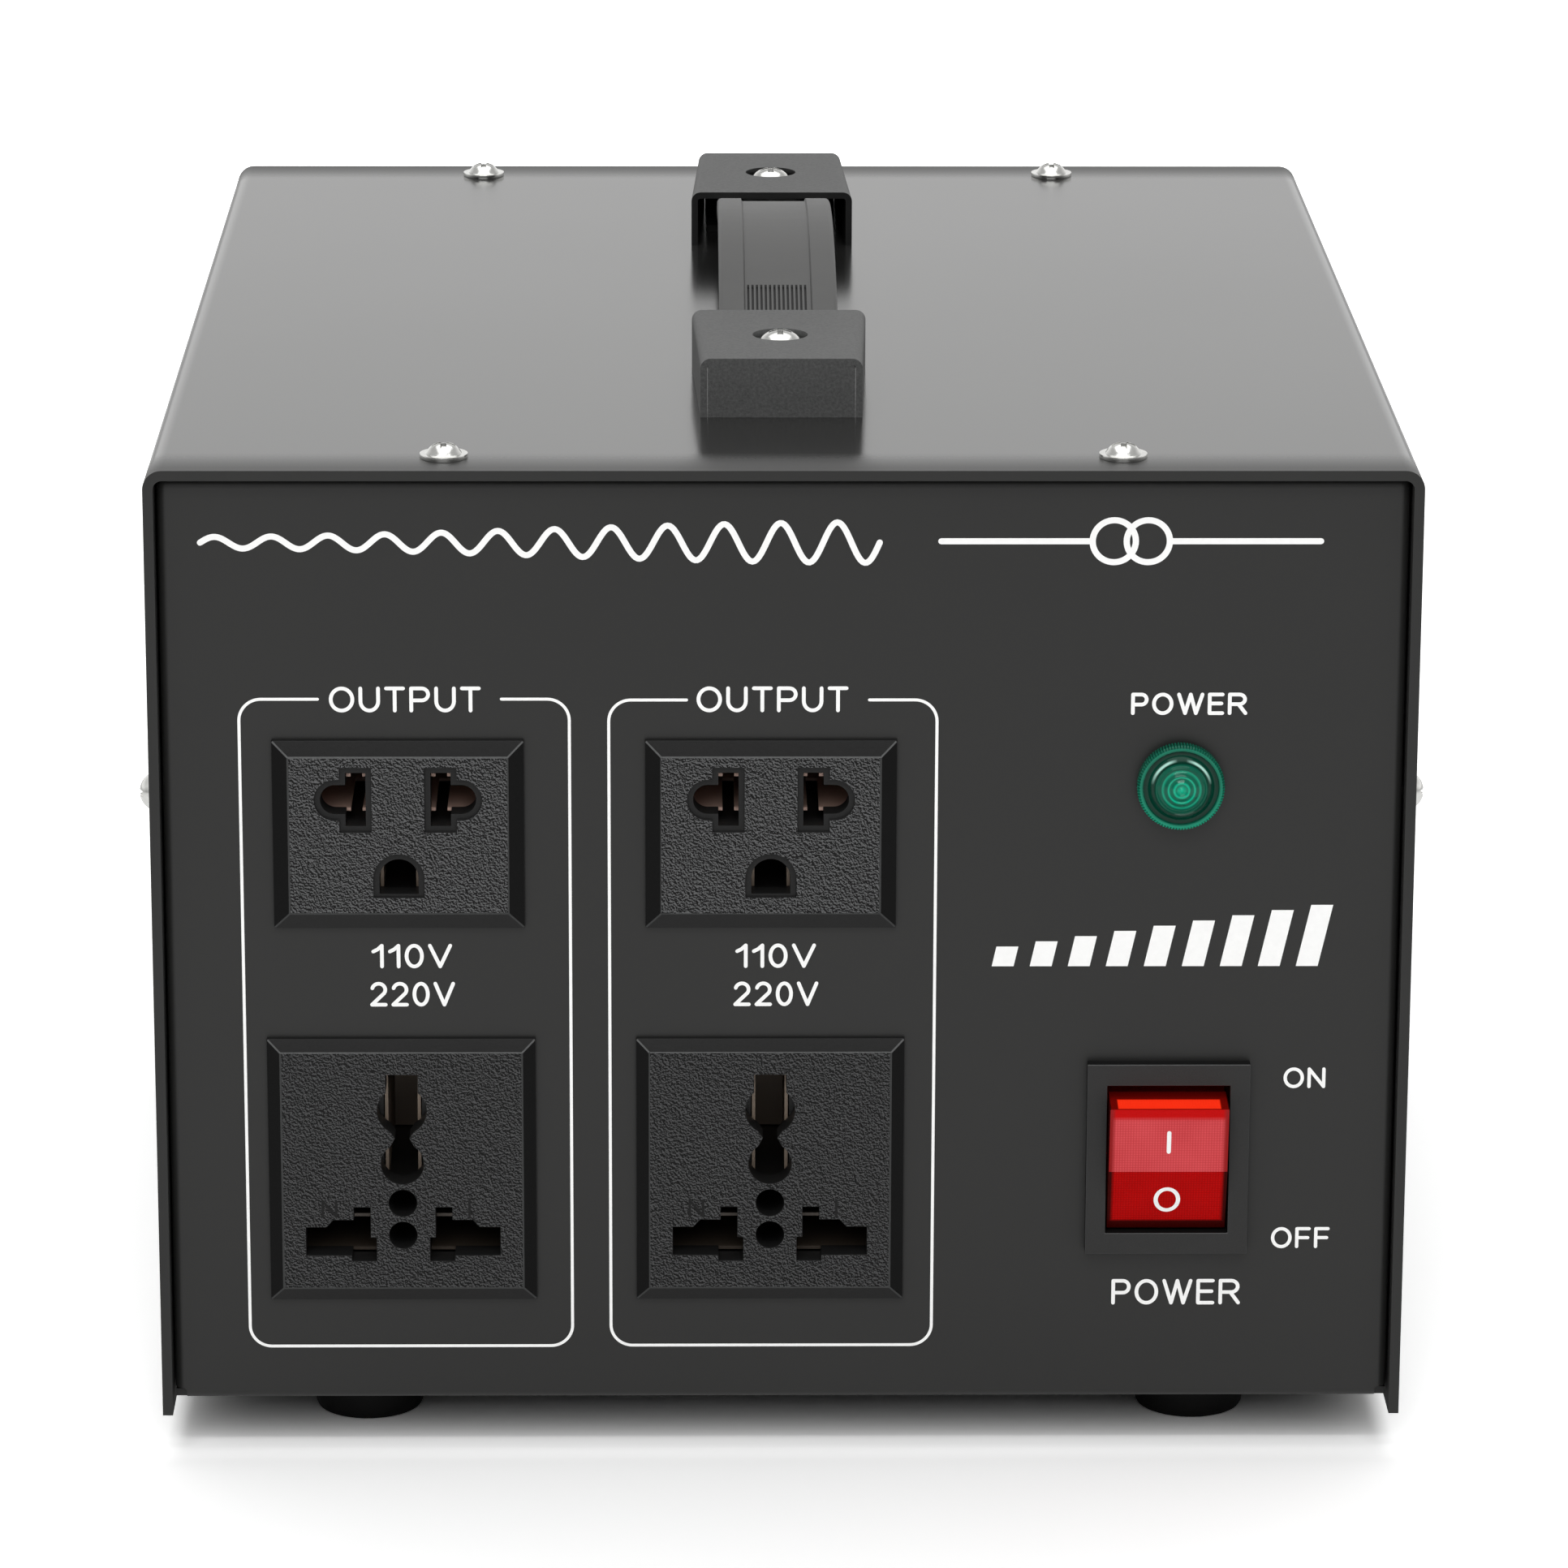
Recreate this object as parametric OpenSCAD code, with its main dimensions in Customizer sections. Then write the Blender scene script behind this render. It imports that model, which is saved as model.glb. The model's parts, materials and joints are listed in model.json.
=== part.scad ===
// Step-up step-down transformer in a folded sheet-steel case, as an assembly of separate pieces.
// X is the width, Y the depth and Z the height. The front panel faces -Y.
// The feet stand on Z = 0 and the case is centred on X = 0 and Y = 0.

/* [Case] */
// Width over the cover
body_w = 195; // [185:1:230]
// Depth over the cover
body_d = 240; // [230:1:300]
// Height from the tray's underside to the top of the cover
body_h = 151; // [148:1:180]
// Thickness of the cover sheet
cover_t = 1.6; // [1.2:0.1:2]
// Outside radius of the cover's two top bends
cover_bend_r = 3; // [2.5:0.5:6]
// How far the cover's sides hang below the tray
cover_skirt = 2; // [0:0.5:4]
// How far each end panel sits inside the edge of the cover
panel_setback = 2; // [1:0.5:5]
// Thickness of the tray sheet
tray_t = 1.2; // [1:0.1:1.5]
// Outside radius of the tray's bends
tray_bend_r = 1.6; // [1.5:0.1:3]
// Gap between the tray and the cover on each side
case_gap = 0.3; // [0.2:0.1:0.8]
// Depth of the flange along the top of each end panel
top_flange_d = 20; // [16:1:24]
// Depth of the flange along each side of an end panel
side_flange_d = 18; // [15:1:22]
// Notch between two bends where they meet at a corner
corner_relief = 1.8; // [1.7:0.1:4]

/* [Vents] */
// Slots in each row on a side of the cover
side_slot_count = 15; // [8:1:17]
// Width of a slot
slot_w = 2.8; // [2:0.1:3.4]
// Length of a slot on the cover
side_slot_l = 26; // [16:1:32]
// Distance between neighbouring slots
slot_pitch = 8; // [6:0.5:9]
// Height of the lower row of slots
side_row_low_z = 44; // [36:1:52]
// Height of the upper row of slots
side_row_high_z = 122; // [110:1:126]
// Slots in the rear panel
rear_slot_count = 9; // [5:1:10]
// Length of a slot in the rear panel
rear_slot_l = 30; // [18:1:34]
// Height of the rear panel's row of slots
rear_row_z = 124; // [118:1:128]

/* [Feet] */
// Height of a foot
foot_h = 9; // [7:0.5:12]
// Radius of a foot where it meets the tray
foot_top_r = 9.6; // [9:0.1:12]
// Radius of a foot where it stands
foot_bottom_r = 8.5; // [7.5:0.1:9]
// Distance of a foot from the side of the cover
foot_side_inset = 31.5; // [24:0.5:40]
// Distance of a foot from the cover's front or back edge
foot_inset = 24.5; // [20:0.5:32]
// Radius of the hollow for the screw head
foot_well_r = 5; // [4.8:0.1:6]
// Rubber left between the hollow and the tray
foot_web = 3; // [2:0.5:4]

/* [Cover screws] */
// Distance of a top screw from the side of the cover
top_screw_side_inset = 45.5; // [30:0.5:56]
// Distance of a screw from the cover's front or back edge
top_screw_inset = 9; // [8:0.5:12]
// Distance of a side screw from the cover's front or back edge
side_screw_inset = 12; // [10:0.5:15]
// Height of the side screws
side_screw_z = 106; // [60:1:115]
// Thread radius of a cover screw
case_screw_r = 1.5; // [1.2:0.1:2]
// Length of a cover screw under its head
case_screw_l = 8; // [6:0.5:12]
// Radius of the collar under a screw's head
case_collar_r = 3.7; // [3.2:0.1:4.5]
// Radius of a screw's domed head
case_head_r = 2.8; // [2.4:0.1:3.2]
// Thickness of the collar
screw_collar_t = 0.7; // [0.5:0.1:1]
// Height of the dome above the collar
screw_dome_h = 1.7; // [1.4:0.1:2.2]
// Width of the cross slot in a head
cross_w = 0.9; // [0.6:0.1:1.2]
// Length of the cross slot
cross_l = 3.6; // [3:0.1:4.2]
// Depth of the cross slot
cross_depth = 1.2; // [0.8:0.1:1.6]
// Radial clearance of a screw in a plain hole
screw_clear = 0.3; // [0.2:0.05:0.6]
// Radial clearance of a screw in the hole that it threads into
thread_clear = 0.05; // [0.02:0.01:0.1]

/* [Handle] */
// Distance from the middle of the handle to the open end of a cap
cap_mouth_y = 48.2; // [42:0.2:56]
// Length of a cap
cap_l = 36; // [32:1:42]
// Height of a cap
cap_h = 9.4; // [8.8:0.2:12]
// Width of a cap at its open end
cap_mouth_w = 28; // [25:0.2:30]
// Width of a cap at its closed end
cap_end_w = 25.4; // [24:0.2:28]
// Thickness of the cap sheet
cap_t = 1.1; // [0.8:0.1:1.3]
// Outside radius of a cap's bends
cap_bend_r = 1.6; // [1.4:0.1:2.4]
// Slit between the end flap and the sides of a cap
cap_slit = 0.4; // [0.3:0.1:0.8]
// Distance from the middle of the handle to a handle screw
handle_screw_y = 66.5; // [62:0.5:72]
// Radius of the hole over a handle screw
cap_hole_r = 4.4; // [4:0.1:5]
// Width of the strap
strap_w = 19.2; // [16:0.2:20]
// Thickness of the strap
strap_t = 3; // [2.4:0.1:3.4]
// Height of the strap's top above the cover where it is flat inside a cap
strap_low = 6.2; // [5.6:0.1:6.6]
// Height of the strap's top above the cover at the middle
strap_crest = 15; // [13:0.5:20]
// Distance from the middle to where the strap lies flat
strap_flat_y = 56; // [54:0.5:60]
// Radius of the hollow curve at each end of the strap
strap_end_r = 30; // [20:1:40]
// Half of the angle of the strap's stiff grip
grip_angle = 13.2; // [10:0.5:14]
// Width of the raised band along each edge of the strap
band_w = 4.3; // [3:0.1:6]
// Depth of the recess between the bands
band_depth = 0.5; // [0.3:0.1:0.8]
// Ribs across each bending zone
rib_count = 14; // [8:1:18]
// Depth of the grooves between the ribs
rib_depth = 0.7; // [0.4:0.1:1]
// How far a strap end slides when the handle is lifted
strap_travel = 4.5; // [3:0.5:5]
// Radius of the bush that a strap end slides on
bush_r = 3; // [2.6:0.1:3.2]
// Clearance between a strap's slot and its bush
bush_clear = 0.3; // [0.2:0.05:0.5]
// Strap beyond the end of its slot
strap_web = 3; // [2:0.5:4]
// Thread radius of a handle screw
handle_screw_r = 2; // [1.5:0.1:2.2]
// Length of a handle screw under its head
handle_screw_l = 15; // [13:1:18]
// Radius of the head of a handle screw
handle_head_r = 3.4; // [3.1:0.1:3.8]
// Height of a bush
bush_h = 6.7; // [6.2:0.1:7]

/* [Upper outlets] */
// Share of the panel's bare width that lies left of the outlets
left_gap_share = 0.1874; // [0.16:0.0001:0.22]
// Share of the panel's bare width between the two columns of outlets
middle_gap_share = 0.1898; // [0.16:0.0001:0.22]
// Height of the upper outlets
upper_outlet_z = 102.1; // [98:0.1:106]
// Width of an upper outlet
upper_w = 38.8; // [37:0.2:42]
// Height of an upper outlet
upper_h = 30.1; // [29:0.1:34]
// Width of the bevel around an upper outlet
upper_bevel = 2.5; // [2:0.1:3]
// Distance from an outlet's middle to a round pin
round_pin_x = 9.7; // [9.5:0.1:10]
// Radius of a round pin hole
round_pin_r = 2.3; // [2.2:0.05:2.5]
// Height of the pin holes above an outlet's middle
pin_row_z = 5.7; // [5:0.1:6.5]
// Distance from an outlet's middle to the inner edge of a blade slot
blade_in_x = 5; // [4.6:0.1:5.2]
// Distance from an outlet's middle to the outer edge of a blade slot
blade_out_x = 8.1; // [7.6:0.1:8.4]
// Height of a blade slot
blade_slot_h = 8.5; // [8:0.1:9]
// Radius of the earth hole's arch
earth_arch_r = 3; // [2.6:0.1:3.2]
// Height of the arch's centre under an outlet's middle
earth_arch_z = 6.9; // [6.5:0.1:7.5]
// Straight part of the earth hole under the arch
earth_flat_h = 2.6; // [2:0.1:3]
// Width of the sunk rim around a hole
rim_w = 0.9; // [0.6:0.1:1.1]
// Depth of the sunk rim
rim_depth = 0.5; // [0.3:0.1:0.8]
// Depth of an upper outlet behind the panel
upper_depth = 26; // [24:1:30]

/* [Lower outlets] */
// Height of the lower outlets
lower_outlet_z = 47.5; // [44:0.1:50]
// Width of a lower outlet
lower_w = 41.8; // [41:0.2:44]
// Height of a lower outlet
lower_h = 43; // [42:0.2:46]
// Width of the bevel around a lower outlet
lower_bevel = 2.1; // [1.8:0.1:2.6]
// Half width of the notch over the earth hole
notch_x = 2.5; // [2.2:0.1:2.8]
// Top of the notch above an outlet's middle
notch_top_z = 15.8; // [15:0.1:16.4]
// Radius of the upper earth hole
earth_r = 3.85; // [3.6:0.05:4]
// Height of the upper earth hole
earth_z = 9.9; // [9.5:0.1:10.4]
// Radius of the lower earth hole
egg_r = 3.35; // [3:0.05:3.5]
// Height of the lower earth hole
egg_z = 1.2; // [1:0.1:1.6]
// Height of the neck between the two earth holes
neck_z = 5.4; // [5.2:0.1:5.8]
// Half width of the neck
neck_x = 1.1; // [0.9:0.1:1.4]
// Radius of the two small holes
small_hole_r = 2.2; // [2:0.05:2.4]
// Depth of the first small hole under an outlet's middle
small_hole_z1 = 5.3; // [5:0.1:5.6]
// Depth of the second small hole under an outlet's middle
small_hole_z2 = 10.6; // [10.2:0.1:11]
// Corners of a live hole from the middle outwards, across
live_x = [4.2, 5.1, 7.7, 8.05, 10.9, 12, 15.2]; // [4:0.05:16]
// Corners of a live hole under an outlet's middle, from the top down
live_z = [6, 8.1, 9.3, 11, 13.95, 14.9]; // [5:0.05:16]
// Depth of a lower outlet behind the panel
lower_depth = 30; // [28:1:34]

/* [Outlet fittings] */
// Thickness of an outlet's edge in front of the panel
flange_t = 0.8; // [0.6:0.1:1.2]
// Rise of the bevel to the outlet's face
bevel_rise = 0.7; // [0.4:0.1:1.2]
// Thickness of the front wall behind the panel's face
face_wall = 3; // [2.4:0.2:4]
// Gap between an outlet and its opening in the panel
panel_fit = 0.2; // [0.1:0.05:0.4]
// Width of an outlet's edge beyond its opening in the panel
flange_lap = 1.2; // [1:0.1:1.6]
// Wall around and behind the contact chambers
chamber_wall = 1.5; // [1.2:0.1:2]
// Thickness of contact strip
contact_t = 0.5; // [0.4:0.1:0.7]
// Gap between a contact and its chamber
contact_gap = 0.2; // [0.1:0.05:0.4]
// Width of a solder tab
tab_w = 4.8; // [4:0.1:5.2]
// Length of a solder tab behind the outlet
tab_l = 9; // [7:0.5:12]
// Width of a snap latch
latch_w = 8; // [6:0.5:10]
// Height of a snap latch
latch_h = 1.2; // [0.8:0.1:1.6]
// Length of a snap latch
latch_l = 5; // [4:0.5:7]
// Gap between a snap latch and the panel
latch_gap = 0.1; // [0.05:0.05:0.3]

/* [Power switch] */
// Share of the panel's bare width between the outlets and the switch
switch_gap_share = 0.3467; // [0.3:0.0001:0.4]
// Height of the switch
switch_z = 49.4; // [45:0.1:52]
// Width of the switch's frame
switch_w = 25.4; // [25:0.1:26]
// Height of the switch's frame
switch_h = 31.2; // [31:0.1:32]
// Thickness of the frame in front of the panel
switch_frame_t = 2; // [1.5:0.1:2.4]
// Width of the rocker's opening
rocker_open_w = 19.2; // [18.6:0.1:19.6]
// Height of the rocker's opening
rocker_open_h = 24.3; // [24:0.1:25]
// Depth of the rocker's opening
rocker_open_d = 11; // [10:0.5:14]
// Depth of the switch behind the panel
switch_depth = 26; // [22:1:30]
// Gap on each side of the rocker
rocker_side_gap = 0.3; // [0.2:0.1:1]
// Half of the rocker's height
rocker_l = 10.9; // [10.4:0.1:11.2]
// Height of the ridge above the pivot
rocker_ridge = 6; // [5.4:0.1:6.6]
// Height of the rocker's ends above the pivot
rocker_end = 5.2; // [4.8:0.1:5.6]
// Depth of the rocker behind the pivot
rocker_back = 2; // [1.5:0.1:2.5]
// Half height of the rocker at its back
rocker_back_l = 9.8; // [9:0.1:10.2]
// Distance of the pivot behind the front of the frame
pivot_depth = 4; // [3.6:0.1:4.6]
// Radius of the rocker's pivot stubs
pivot_r = 1.4; // [1.2:0.1:1.6]
// Running clearance around the pivot stubs
pivot_clear = 0.06; // [0.03:0.01:0.1]
// How far a pivot stub reaches into the wall
pivot_reach = 0.7; // [0.5:0.1:0.8]
// Tilt of the rocker to each side of the middle
rocker_tilt = 13; // [10:0.5:14]
// Radius of the rocker's two contact plungers
plunger_r = 1.4; // [1:0.1:1.8]
// Length of a plunger behind the rocker
plunger_l = 1.6; // [1:0.1:2]
// Distance from the rocker's middle to a plunger
plunger_x = 4.5; // [4:0.1:6]

/* [Power lamp] */
// How far the lamp sits to the right of the switch
lamp_shift = 1; // [0:0.1:4]
// Height of the lamp
lamp_z = 109.9; // [104:0.1:114]
// Radius of the lamp's lens
lamp_lens_r = 6.8; // [6:0.1:7.5]
// Height of the lens's grooved rim
lamp_rim_h = 2.4; // [2:0.1:3]
// Height of the dome over the rim
lamp_dome_h = 1.5; // [1:0.1:2.4]
// Radius of the dome's foot
lamp_dome_r = 6; // [5:0.1:6.4]
// Grooves around the rim
lamp_grooves = 36; // [24:1:48]
// Radius of one groove
lamp_groove_r = 0.28; // [0.2:0.02:0.36]
// Radius of the lamp's barrel
lamp_barrel_r = 4.9; // [4.5:0.1:5.2]
// Length of the barrel behind the panel
lamp_barrel_l = 24; // [18:1:28]
// Radius of the bore in the barrel
lamp_bore_r = 3.8; // [3.4:0.1:4]
// Corner radius of the lamp's nut
lamp_nut_r = 7.5; // [7:0.1:8.5]
// Thickness of the lamp's nut
lamp_nut_t = 3; // [2:0.1:4]
// Radius of the glow bulb
bulb_r = 2.4; // [2:0.1:2.8]
// Length of the glow bulb
bulb_l = 11; // [8:0.5:13]

/* [Reset breaker] */
// Position of the breaker across the rear panel
breaker_x = 12; // [5:1:22]
// Height of the breaker
breaker_z = 56; // [40:1:70]
// Radius of the breaker's neck
breaker_neck_r = 4.75; // [4.5:0.05:5.2]
// Length of the neck in front of the panel
breaker_neck_l = 4.6; // [4:0.1:5]
// Width of the breaker's case
breaker_w = 14; // [12:0.5:18]
// Height of the breaker's case
breaker_h = 34; // [28:1:38]
// Depth of the breaker's case
breaker_d = 24; // [20:1:30]
// Corner radius of the breaker's nut
breaker_nut_r = 8; // [7.5:0.1:9]
// Thickness of the breaker's nut
breaker_nut_t = 2.6; // [2:0.1:4]
// Radius of the reset button
button_r = 3.2; // [2.8:0.1:3.4]
// How far the button stands out of the neck
button_out = 2.2; // [2.1:0.1:2.6]
// Travel of the reset button
button_travel = 1.8; // [1:0.1:2]
// Length of the button inside the neck
button_in = 8; // [6:0.5:10]
// Running clearance around the button
button_clear = 0.08; // [0.04:0.01:0.1]

/* [Voltage selector] */
// Position of the selector across the rear panel
selector_x = -30; // [-40:1:-22]
// Height of the selector
selector_z = 56; // [40:1:70]
// Width of the selector's plate
selector_w = 38; // [36:1:42]
// Height of the selector's plate
selector_h = 15; // [14:0.5:18]
// Thickness of the selector's plate
selector_t = 1.2; // [1:0.1:1.6]
// Width of the selector's box behind the panel
selector_box_w = 22; // [20:0.5:24]
// Height of the selector's box
selector_box_h = 11; // [10:0.5:12]
// Depth of the selector's box
selector_box_d = 14; // [12:0.5:18]
// Width of the slider's window
window_w = 15; // [14:0.5:16]
// Height of the slider's window
window_h = 6.4; // [6:0.1:7]
// Depth of the slider's window
window_d = 5; // [4:0.5:6]
// Width of the slider
slider_w = 8; // [7:0.5:9]
// Travel of the slider
slider_travel = 6; // [5:0.5:6.5]
// Gap around the slider
slider_gap = 0.3; // [0.2:0.05:0.4]
// Distance between the selector's two screws
selector_screw_span = 28; // [26:0.5:30]
// Thread radius of the selector's screws
selector_screw_r = 1.2; // [1:0.1:1.5]
// Length of the selector's screws
selector_screw_l = 6; // [5:0.5:8]
// Corner radius of the nuts of the selector's screws
selector_nut_r = 2.6; // [2.4:0.1:3]

/* [Cable gland] */
// Distance of the gland from the side of the tray
gland_side_inset = 33.6; // [26:0.1:40]
// Height of the gland
gland_z = 40; // [34:1:50]
// Radius of the gland's thread
gland_thread_r = 7.6; // [7:0.1:8.2]
// Corner radius of the gland's six-sided collar
gland_hex_r = 11; // [10.4:0.1:12]
// Thickness of the gland's collar
gland_hex_t = 5; // [4:0.5:6]
// Radius of the round lip on the gland's collar
gland_lip_r = 8.6; // [8:0.1:9]
// Height of the lip over the collar
gland_lip_t = 1; // [0.6:0.1:1.6]
// Radius of the cable hole
cable_r = 3.6; // [3:0.1:4]
// Wall of the rubber seal
seal_wall = 2; // [1.6:0.1:2.4]
// Thickness of the gland's lock nut
gland_nut_t = 4; // [3:0.5:5]
// Length of the gland's thread behind the panel
gland_thread_l = 9; // [8:0.5:12]

/* [Transformer] */
// Gap between the wound ring and the solder tabs of the lower outlets
ring_front_gap = 11.8; // [8:0.1:16]
// Gap between the wound ring and the solder tabs of the breaker
ring_rear_gap = 3; // [2:0.1:6]
// Height of the wound ring
ring_h = 70; // [56:1:80]
// Radius of the hole through the wound ring
ring_hole_r = 20; // [16:1:24]
// Thickness of the winding and tape around the outside of the core
outer_build = 14; // [12:0.5:18]
// Thickness of the winding and tape in the hole of the core
inner_build = 14; // [12:0.5:18]
// Height of the steel core
core_h = 46; // [36:1:52]
// Thickness of the insulation around the core
wrap_t = 1.5; // [1:0.1:2]
// Rounding of the wound ring's edges
ring_round = 9; // [5:1:12]
// Thickness of the outer tape
tape_t = 1; // [0.5:0.1:1.5]
// Thickness of a rubber pad
pad_t = 2; // [1:0.5:3]
// How far a pad's edge lies inside the ring's outer edge
pad_inset = 12; // [4:0.5:20]
// How far the clamping dish's edge lies inside the ring's outer edge
dish_inset = 18; // [10:0.5:26]
// Thickness of the clamping dish
dish_t = 2; // [1.5:0.1:3]
// How far the dish dips into the ring's hole
dish_dip = 7; // [5:0.5:10]
// Radius of the dish's dip at its floor
dish_floor_r = 13; // [11:0.5:14]
// Thread radius of the clamping bolt
bolt_r = 4; // [3:0.5:5]
// Corner radius of the bolt's head and nut
bolt_hex_r = 7.5; // [7:0.1:8.5]
// Thickness of the bolt's head
bolt_head_t = 5.3; // [4.5:0.1:6]
// Thickness of the bolt's nut
bolt_nut_t = 6.5; // [5.5:0.1:8]
// Bolt beyond its nut
bolt_spare = 4; // [2:0.5:6]

/* [Terminal block] */
// Gap between the block and the side of the tray
block_side_gap = 5.6; // [3:0.1:8]
// Gap between the block and the solder tabs of the lower outlets
block_front_gap = 1; // [0.5:0.1:2]
// Number of poles
block_poles = 4; // [3:1:4]
// Distance between poles
block_pitch = 10; // [9:0.5:11]
// Width of the block
block_w = 16; // [14:0.5:20]
// Height of the block
block_h = 14; // [12:0.5:18]
// Radius of a pole's wire hole
block_wire_r = 2; // [1.5:0.1:2.4]
// Radius of a pole's screw
block_screw_r = 2.2; // [1.8:0.1:2.6]
// Depth of a pole's screw in the block
block_screw_l = 5; // [4:0.5:6]

/* [Hidden] */
// Extra length of a cut beyond the face that it passes
overrun = 0.5;
// How far two parts of one solid reach into each other
join = 0.3;
// Thickness of the slices that a cap is drawn between
slice = 0.02;
// Six sides of a nut
hex_sides = 6;
// Height of a small nut as a share of its thread's width
nut_t_share = 0.8;
neck_turn = 50;
neck_reach_share = 0.9;
// Degrees in a half turn
half_turn = 180;
cover_top = foot_h + body_h;
tray_z = foot_h;
tray_floor = tray_z + tray_t;
tray_top = cover_top - cover_t;
tray_half = body_w / 2 - cover_t - case_gap;
front_y = -body_d / 2 + panel_setback;
rear_y = -front_y;
foot_x = body_w / 2 - foot_side_inset;
top_screw_x = body_w / 2 - top_screw_side_inset;
bare_w = 2 * tray_half - 2 * lower_w - switch_w;
left_outlet_x = left_gap_share * bare_w + lower_w / 2 - tray_half;
right_outlet_x = left_outlet_x + lower_w + middle_gap_share * bare_w;
switch_x = right_outlet_x + (lower_w + switch_w) / 2 + switch_gap_share * bare_w;
lamp_x = switch_x + lamp_shift;
rocker_w = rocker_open_w - 2 * rocker_side_gap;
gland_x = tray_half - gland_side_inset;
flange_top_z = tray_top - tray_bend_r;
cap_end_y = cap_mouth_y + cap_l;
strap_turn = 2 * atan((strap_crest - strap_low) / strap_flat_y);
strap_sum_r = strap_flat_y / sin(strap_turn);
strap_r = strap_sum_r - strap_end_r;
strap_centre_z = cover_top + strap_crest - strap_r;
end_centre_z = cover_top + strap_low + strap_end_r;
slot_in_y = handle_screw_y - bush_r - bush_clear;
slot_out_y = handle_screw_y + bush_r + bush_clear + strap_travel;
strap_tip_y = slot_out_y + strap_web;
head_seat_z = cover_top + cap_t + bush_h;
neck_w_upper = upper_w - 2 * flange_lap;
neck_h_upper = upper_h - 2 * flange_lap;
neck_w_lower = lower_w - 2 * flange_lap;
neck_h_lower = lower_h - 2 * flange_lap;
switch_neck_w = rocker_open_w + 2 * flange_lap;
switch_neck_h = rocker_open_h + 3 * flange_lap;
pivot_y = switch_frame_t - pivot_depth;
blade_mid_x = (blade_in_x + blade_out_x) / 2;
upper_leaf = round_pin_r + contact_gap;
live_mid_z = (live_z[2] + live_z[4]) / 2;
tabs_y = front_y + lower_depth + tab_l;
ring_front_y = tabs_y + ring_front_gap;
ring_rear_y = rear_y - tray_t - breaker_d - tab_l - ring_rear_gap;
ring_r = (ring_rear_y - ring_front_y) / 2;
ring_y = (ring_rear_y + ring_front_y) / 2;
core_out_r = ring_r - outer_build;
core_in_r = ring_hole_r + inner_build;
pad_r = ring_r - pad_inset;
dish_r = ring_r - dish_inset;
ring_base = tray_floor + pad_t;
ring_mid_z = ring_base + ring_h / 2;
dish_top = ring_base + ring_h + pad_t + dish_t;
dish_floor_top = dish_top - dish_dip;
block_l = block_poles * block_pitch;
block_x = tray_half - block_side_gap - block_l / 2;
block_y = tabs_y + block_front_gap + block_w / 2;

// Places a drawing made facing +Z onto the outside of the front panel
module on_front(x, z) {
    translate([x, front_y, z])
        rotate([90, 0, 0])
            children();
}

// Places a drawing made facing +Z onto the outside of the rear panel
module on_rear(x, z) {
    translate([x, rear_y, z])
        rotate([90, 0, half_turn])
            children();
}

// Draws its children at both signs of X
module both_sides(x) {
    for (s = [-1, 1])
        translate([s * x, 0, 0])
            children();
}

// Draws its children at the four corners of a rectangle
module corners(x, y) {
    for (sx = [-1, 1])
        for (sy = [-1, 1])
            translate([sx * x, sy * y, 0])
                children();
}

// Box standing on Z = z and centred on X and Y
module block(w, d, h, z = 0) {
    translate([-w / 2, -d / 2, z])
        cube([w, d, h]);
}

// Slot with round ends lying along Y
module slot_2d(w, l) {
    square([w, l - w], center = true);
    for (s = [-1, 1])
        translate([0, s * (l - w) / 2])
            circle(d = w, $fn = 16);
}

// Quarter of a bent sheet, its centre at the origin and its material towards -X and -Y
module bend_2d(r, t) {
    translate([-r, 0])
        square([t, join]);
    translate([0, -r])
        square([join, t]);
    intersection() {
        difference() {
            circle(r, $fn = 32);
            circle(r - t, $fn = 32);
        }
        translate([-r, -r])
            square(r);
    }
}

// Dome of radius r and height h standing on Z = 0
module dome(r, h) {
    sphere_r = (r * r + h * h) / (2 * h);
    rotate_extrude($fn = 32)
        intersection() {
            translate([0, h - sphere_r])
                circle(sphere_r, $fn = 96);
            square([r, h]);
        }
}

// Screw with a domed head on a collar, its seat at Z = 0 and its thread below
module dome_screw(r, l, collar_r, head_r, tip = 0) {
    translate([0, 0, -l])
        cylinder(r = r, h = l, $fn = 24);
    difference() {
        union() {
            cylinder(r = collar_r, h = screw_collar_t, $fn = 32);
            translate([0, 0, screw_collar_t])
                dome(head_r, screw_dome_h);
        }
        for (a = [0, 90])
            rotate([0, 0, a])
                translate([0, 0, screw_collar_t + screw_dome_h - cross_depth])
                    block(cross_w, cross_l, cross_depth + overrun);
    }
}

// Six-sided nut standing on Z = 0
module hex_nut(corner_r, hole_r, t) {
    difference() {
        cylinder(r = corner_r, h = t, $fn = hex_sides);
        translate([0, 0, -overrun])
            cylinder(r = hole_r, h = t + 2 * overrun, $fn = 24);
    }
}

// Outline of the folded cover seen from the front
module cover_outline(half_w, top_z, low_z, r) {
    translate([-half_w, low_z])
        square([2 * half_w, top_z - r - low_z]);
    translate([-half_w + r, low_z])
        square([2 * (half_w - r), top_z - low_z]);
    for (s = [-1, 1])
        translate([s * (half_w - r), top_z - r])
            circle(r, $fn = 48);
}

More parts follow.
